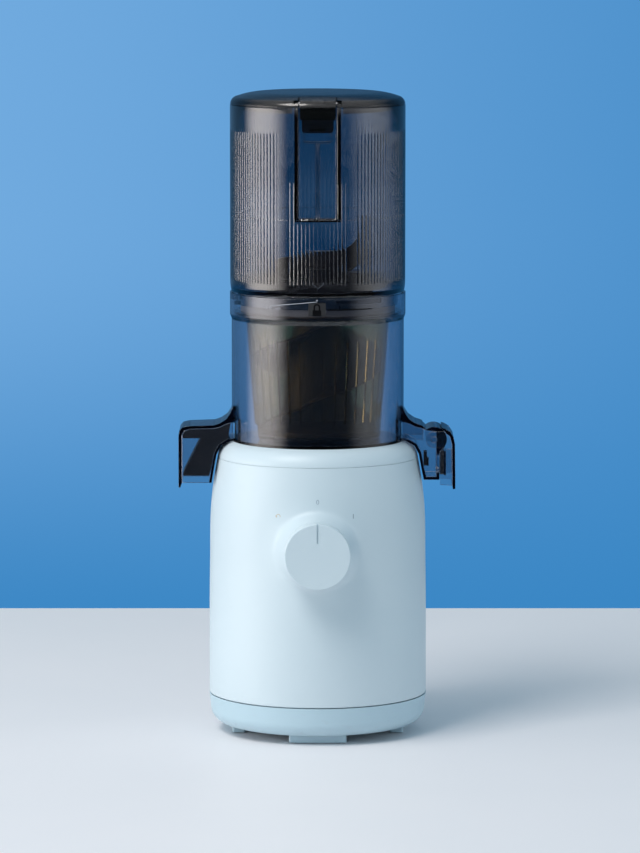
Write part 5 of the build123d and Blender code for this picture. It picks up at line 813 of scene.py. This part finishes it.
# ---------------------------------------------------------------- hopper's catch, rib and hinge
# Moulded on the hopper in the same clear smoke plastic: on the pocket's back wall a frame with
# the catch for the latch and a rib below it, and two knuckles at the back that hold the lid's pin.
CATCH_Z = 401.8
CATCH_HALF = 8
CATCH_OUT = 2.0
FRAME_HALF = 9.6
FRAME_FOOT = 391.2
FRAME_TOP = 404.4
FRAME_WALL = 1.3
FRAME_LIP = 0.3
FRAME_OUT = 1.2
RIB_HALF = 1.7
RIB_OUT = 1.6
PAD_GAP = 0.04
PIN_Y = 62.0
PIN_Z = 411.5
PIN_BORE = 1.52
KNUCKLE_R = 3.6
KNUCKLE_LOW = 7.65
KNUCKLE_HIGH = 16.0
WEB = np.array([(-6.5, -10), (-4.8, -10), (2.9, -2.2), (0, 2.9), (-6.5, 2.4)])


def rounded_box(x_half, low, high, corner, count=8):
    """An upright rectangle's outline with round corners, as points (x, z), once round."""
    quarter = np.linspace(0, np.pi / 2, count)
    middle = [(1, 1, 0), (-1, 1, 1), (-1, -1, 2), (1, -1, 3)]
    across = [sx * (x_half - corner) + corner * np.cos(quarter + k * np.pi / 2) for sx, sz, k in middle]
    up = [(low + high) / 2 + sz * ((high - low) / 2 - corner) + corner * np.sin(quarter + k * np.pi / 2)
          for sx, sz, k in middle]
    return np.stack([np.concatenate(across), np.concatenate(up)], -1)


def pad(name, outline, back, out, ease):
    """A raised pad on an upright wall: its outline drawn forward by out, the front edge rounded
    by ease (it shrinks there by one less the root of one less t squared), both faces closed to
    their middle."""
    middle = outline.mean(axis=0)
    reach = abs(outline - middle).max(axis=0)
    t = np.linspace(0, 1, 6)
    forward = np.concatenate([[0, 0], out - ease + ease * t, [out]])
    shrink = np.concatenate([[1e9, 0], ease * (1 - np.sqrt(1 - t**2)), [1e9]])
    rows = []
    for step, inward in zip(forward, shrink):
        flat = middle + (outline - middle) * np.maximum(1 - inward / reach, 0)
        rows.append(np.stack([flat[:, 0], np.full(len(flat), back - step), flat[:, 1]], -1))
    return skin(name, np.stack(rows), around=True, shut=True)


def frame_ring(name, outer, inner, back, out, ease):
    """A flat ring on an upright wall between two outlines with as many points, rounded in front."""
    rows = [(outer, 0), (outer, out - ease), (outer * 0.8 + inner * 0.2, out),
            (outer * 0.2 + inner * 0.8, out), (inner, out - ease), (inner, 0)]
    points = [np.stack([flat[:, 0], np.full(len(flat), back - step), flat[:, 1]], -1)
              for flat, step in rows]
    return skin(name, np.stack(points), around=True, looped=True, shut=True)


def knuckle(name, side):
    """A plate with a bore: its outline, round the pin, lies as far out along each ray as the web's
    nearest edge or the eye's radius, whichever is more, but not inside the hopper's wall."""
    count = 72
    turn = np.linspace(0, 2 * np.pi, count, endpoint=False)
    ray = np.stack([np.cos(turn), np.sin(turn)], -1)
    edge = np.roll(WEB, -1, axis=0) - WEB
    out = np.stack([edge[:, 1], -edge[:, 0]], -1) / np.hypot(*edge.T)[:, None]
    reach = (out * WEB).sum(axis=1)
    facing = ray @ out.T
    far = np.where(facing > 1e-6, reach / np.maximum(facing, 1e-6), 1e9).min(axis=1)
    far = np.maximum(far, KNUCKLE_R)
    rows = []
    plate = [(KNUCKLE_LOW, EASE), (KNUCKLE_LOW + EASE_STEP, EASE_PART), (KNUCKLE_LOW + EASE, 0), (12, 0),
             (KNUCKLE_HIGH - EASE, 0), (KNUCKLE_HIGH - EASE_STEP, EASE_PART), (KNUCKLE_HIGH, EASE)]
    for x, inset in plate:
        y = np.maximum(PIN_Y + (far - inset) * ray[:, 0], math.sqrt((HOPPER_R + PAD_GAP) ** 2 - x**2))
        rows.append(np.stack([np.full(count, side * x), y, PIN_Z + (far - inset) * ray[:, 1]], -1))
    for x in (KNUCKLE_HIGH, KNUCKLE_LOW):
        bore = PIN_BORE * ray
        rows.append(np.stack([np.full(count, side * x), PIN_Y + bore[:, 0], PIN_Z + bore[:, 1]], -1))
    return skin(name, np.stack(rows), around=True, looped=True, shut=True)


wall_y = POCKET_BACK - PAD_GAP
fittings = [
    pad("latch_catch", rounded_box(CATCH_HALF, CATCH_Z, CATCH_Z + 2, 0.4), wall_y, CATCH_OUT, 0.5),
    pad("pocket_rib", rounded_box(RIB_HALF, POCKET_FLOOR + 0.1, FRAME_FOOT - 0.1, 0.5), wall_y,
        RIB_OUT, 0.6),
    frame_ring("catch_frame", rounded_box(FRAME_HALF, FRAME_FOOT, FRAME_TOP, 2.6),
               rounded_box(FRAME_HALF - FRAME_WALL, FRAME_FOOT + FRAME_WALL, FRAME_TOP - FRAME_LIP, 1.6),
               wall_y, FRAME_OUT, 0.4),
    knuckle("knuckle_left", -1),
    knuckle("knuckle_right", 1),
]
for mesh in fittings:
    piece(mesh.name, mesh, smoke_hopper, "hopper", "smoke_clear")


# ---------------------------------------------------------------- collar band
# An opaque band of grey resin inside the hopper's collar that darkens the rim zone: it stands
# in for the collar's lugs and threads seen through the clear rim, paints the shade there, and
# keeps the blue wall from showing through.
BAND_OUTER = 50.62
BAND_INNER = 49.0
BAND_FOOT = 277.9
BAND_TOP = 291.9
BAND_EASE = 0.3


def band_rows():
    """A ring's section, once round: straight sides and four eased edges."""
    inner, outer = BAND_INNER + BAND_EASE, BAND_OUTER - BAND_EASE
    low, high = BAND_FOOT + BAND_EASE, BAND_TOP - BAND_EASE
    section = [(BAND_INNER, low), (inner, BAND_FOOT), (outer, BAND_FOOT), (BAND_OUTER, low),
               (BAND_OUTER, high), (outer, BAND_TOP), (inner, BAND_TOP), (BAND_INNER, high)]
    return np.stack([ring(radius, z) for radius, z in section])


# The band's grey is partly painted shade: an opaque sheet where the clear rim looks dark.
piece("collar_shade_band", skin("collar_shade_band", band_rows(), around=True, looped=True, shut=True),
      moulded("band_painted_shade", linear(124, 122, 122), linear(108, 106, 107), 0.4), "hopper", "dark_resin")


# ---------------------------------------------------------------- marks on drum and hopper
# Plain signs that help to put the parts together, raised or printed by a few hundredths: a
# padlock on its plate, a slanted line and dashes on the drum's rim, and a level line with a
# dot, an arrowhead and a tick on the hopper.
RIM_R = 57.7
BOW_R = 1.7
BOW_X = -0.5
BOW_Z = 286.2
BOW_FOOT = 284.0
RAISED = 0.05
PLATE_STAND = 0.04
PADLOCK_STAND = 0.09
DOT_STAND = 0.06


def stripe(line, half, radius, stand=RAISED):
    """A thin closed strip along a line of points (x, z) laid on the round wall: its sides lie half
    its width off the line, square to it, and its face stands off the wall."""
    line = np.array(line, float)
    run = np.gradient(line, axis=0)
    side = np.stack([-run[:, 1], run[:, 0]], -1) / np.hypot(*run.T)[:, None] * half
    edges = [(line - side, 0.01), (line - side, stand), (line + side, stand), (line + side, 0.01)]
    rows = []
    for edge, out in edges:
        turn, far = edge[:, 0] / radius, radius + out
        rows.append(np.stack([far * np.sin(turn), -far * np.cos(turn), edge[:, 1]], -1))
    return closed_ends(np.stack(rows))


def straight(start, end, count=12):
    """A straight line of points (x, z)."""
    return np.linspace(start, end, count)


def sign(name, finish, body, *stripes):
    """One piece of several strips, riding on the body of the clear plastic that it is on."""
    form = bmesh.new()
    for strip in stripes:
        part = skin(name, strip, looped=True, shut=True)
        form.from_mesh(part)
        bpy.data.meshes.remove(part)
    mesh = bpy.data.meshes.new(name)
    form.to_mesh(mesh)
    form.free()
    return piece(name, tidied(mesh), finish, body, "smoke_clear")


def matt_ink(name, colour, mottle):
    """Matt ink in a mottled tone that hardly shines."""
    made = Finish(name)
    cloud = made.noise(60, 4, 0.6)
    colour = made.blend(colour, mottle, cloud)
    return made.solid(Base_Color=colour, Roughness=0.8 + cloud * 0.12, Specular_IOR_Level=0.06)


mark_dark = matt_ink("mark_dark", linear(9, 9, 12), linear(14, 14, 17))
mark_light = moulded("mark_light", linear(176, 178, 184), linear(150, 152, 160), 0.4)
mark_faint = moulded("mark_faint", linear(104, 107, 116), linear(84, 88, 98), 0.4)
mark_plate = moulded("mark_plate", linear(36, 37, 40), linear(30, 31, 34), 0.5)

bow = np.radians(np.linspace(0, 180, 18))
arch = np.stack([BOW_X + BOW_R * np.cos(bow), BOW_Z + BOW_R * np.sin(bow)], -1)
shackle = np.concatenate([[(BOW_X + BOW_R, BOW_FOOT)], arch, [(BOW_X - BOW_R, BOW_FOOT)]])
arrowhead = [(-3.2, 302.4), (-3.4, 301.2), (0.2, 298.2), (3.8, 301.2), (3.6, 302.4)]
tick = [(-48.6, 390.0), (-43.4, 387.2), (-43.0, 390.4)]
sign("padlock_plate", mark_plate, "drum",
     stripe(straight((-6, 284.6), (5.2, 284.6)), 4.2, RIM_R, PLATE_STAND))
sign("padlock_mark", mark_dark, "drum",
     stripe(straight((-3.3, 282.3), (2.3, 282.3)), 2.0, RIM_R, PADLOCK_STAND),
     stripe(shackle, 0.5, RIM_R, PADLOCK_STAND),
     stripe(straight((6.6, 284.2), (38, 284.2), 24), 0.3, RIM_R))
sign("lock_line", mark_light, "drum",
     stripe(straight((-31.6, 286.6), (-0.5, 289.7), 24), 0.22, RIM_R),
     stripe(straight((-28.6, 284.5), (-25.2, 284.6), 4), 0.3, RIM_R),
     stripe(straight((-35.4, 283.6), (-35.4, 286.6), 4), 0.2, RIM_R),
     stripe(straight((-32.4, 283.6), (-32.4, 286.6), 4), 0.2, RIM_R),
     stripe(straight((-0.95, 290.6), (-0.05, 290.6), 4), 0.4, RIM_R))
sign("fill_line", mark_faint, "hopper",
     stripe(straight((-7.5, 322.8), (8.5, 322.8)), 0.1, HOPPER_R),
     stripe(straight((0.15, 322.8), (1.05, 322.8), 4), 0.45, HOPPER_R, DOT_STAND),
     stripe(arrowhead, 0.15, HOPPER_R),
     stripe(tick, 0.12, HOPPER_R))


# ---------------------------------------------------------------- lid and latch
# The shallow dome over the hopper and the sprung flap that holds it shut: darker smoke
# plastic with a satin face.
dress(clear_smoke("smoke_dark", (1500, 1500, 1400), 0.2, 1.58), "lid", "lid_latch")
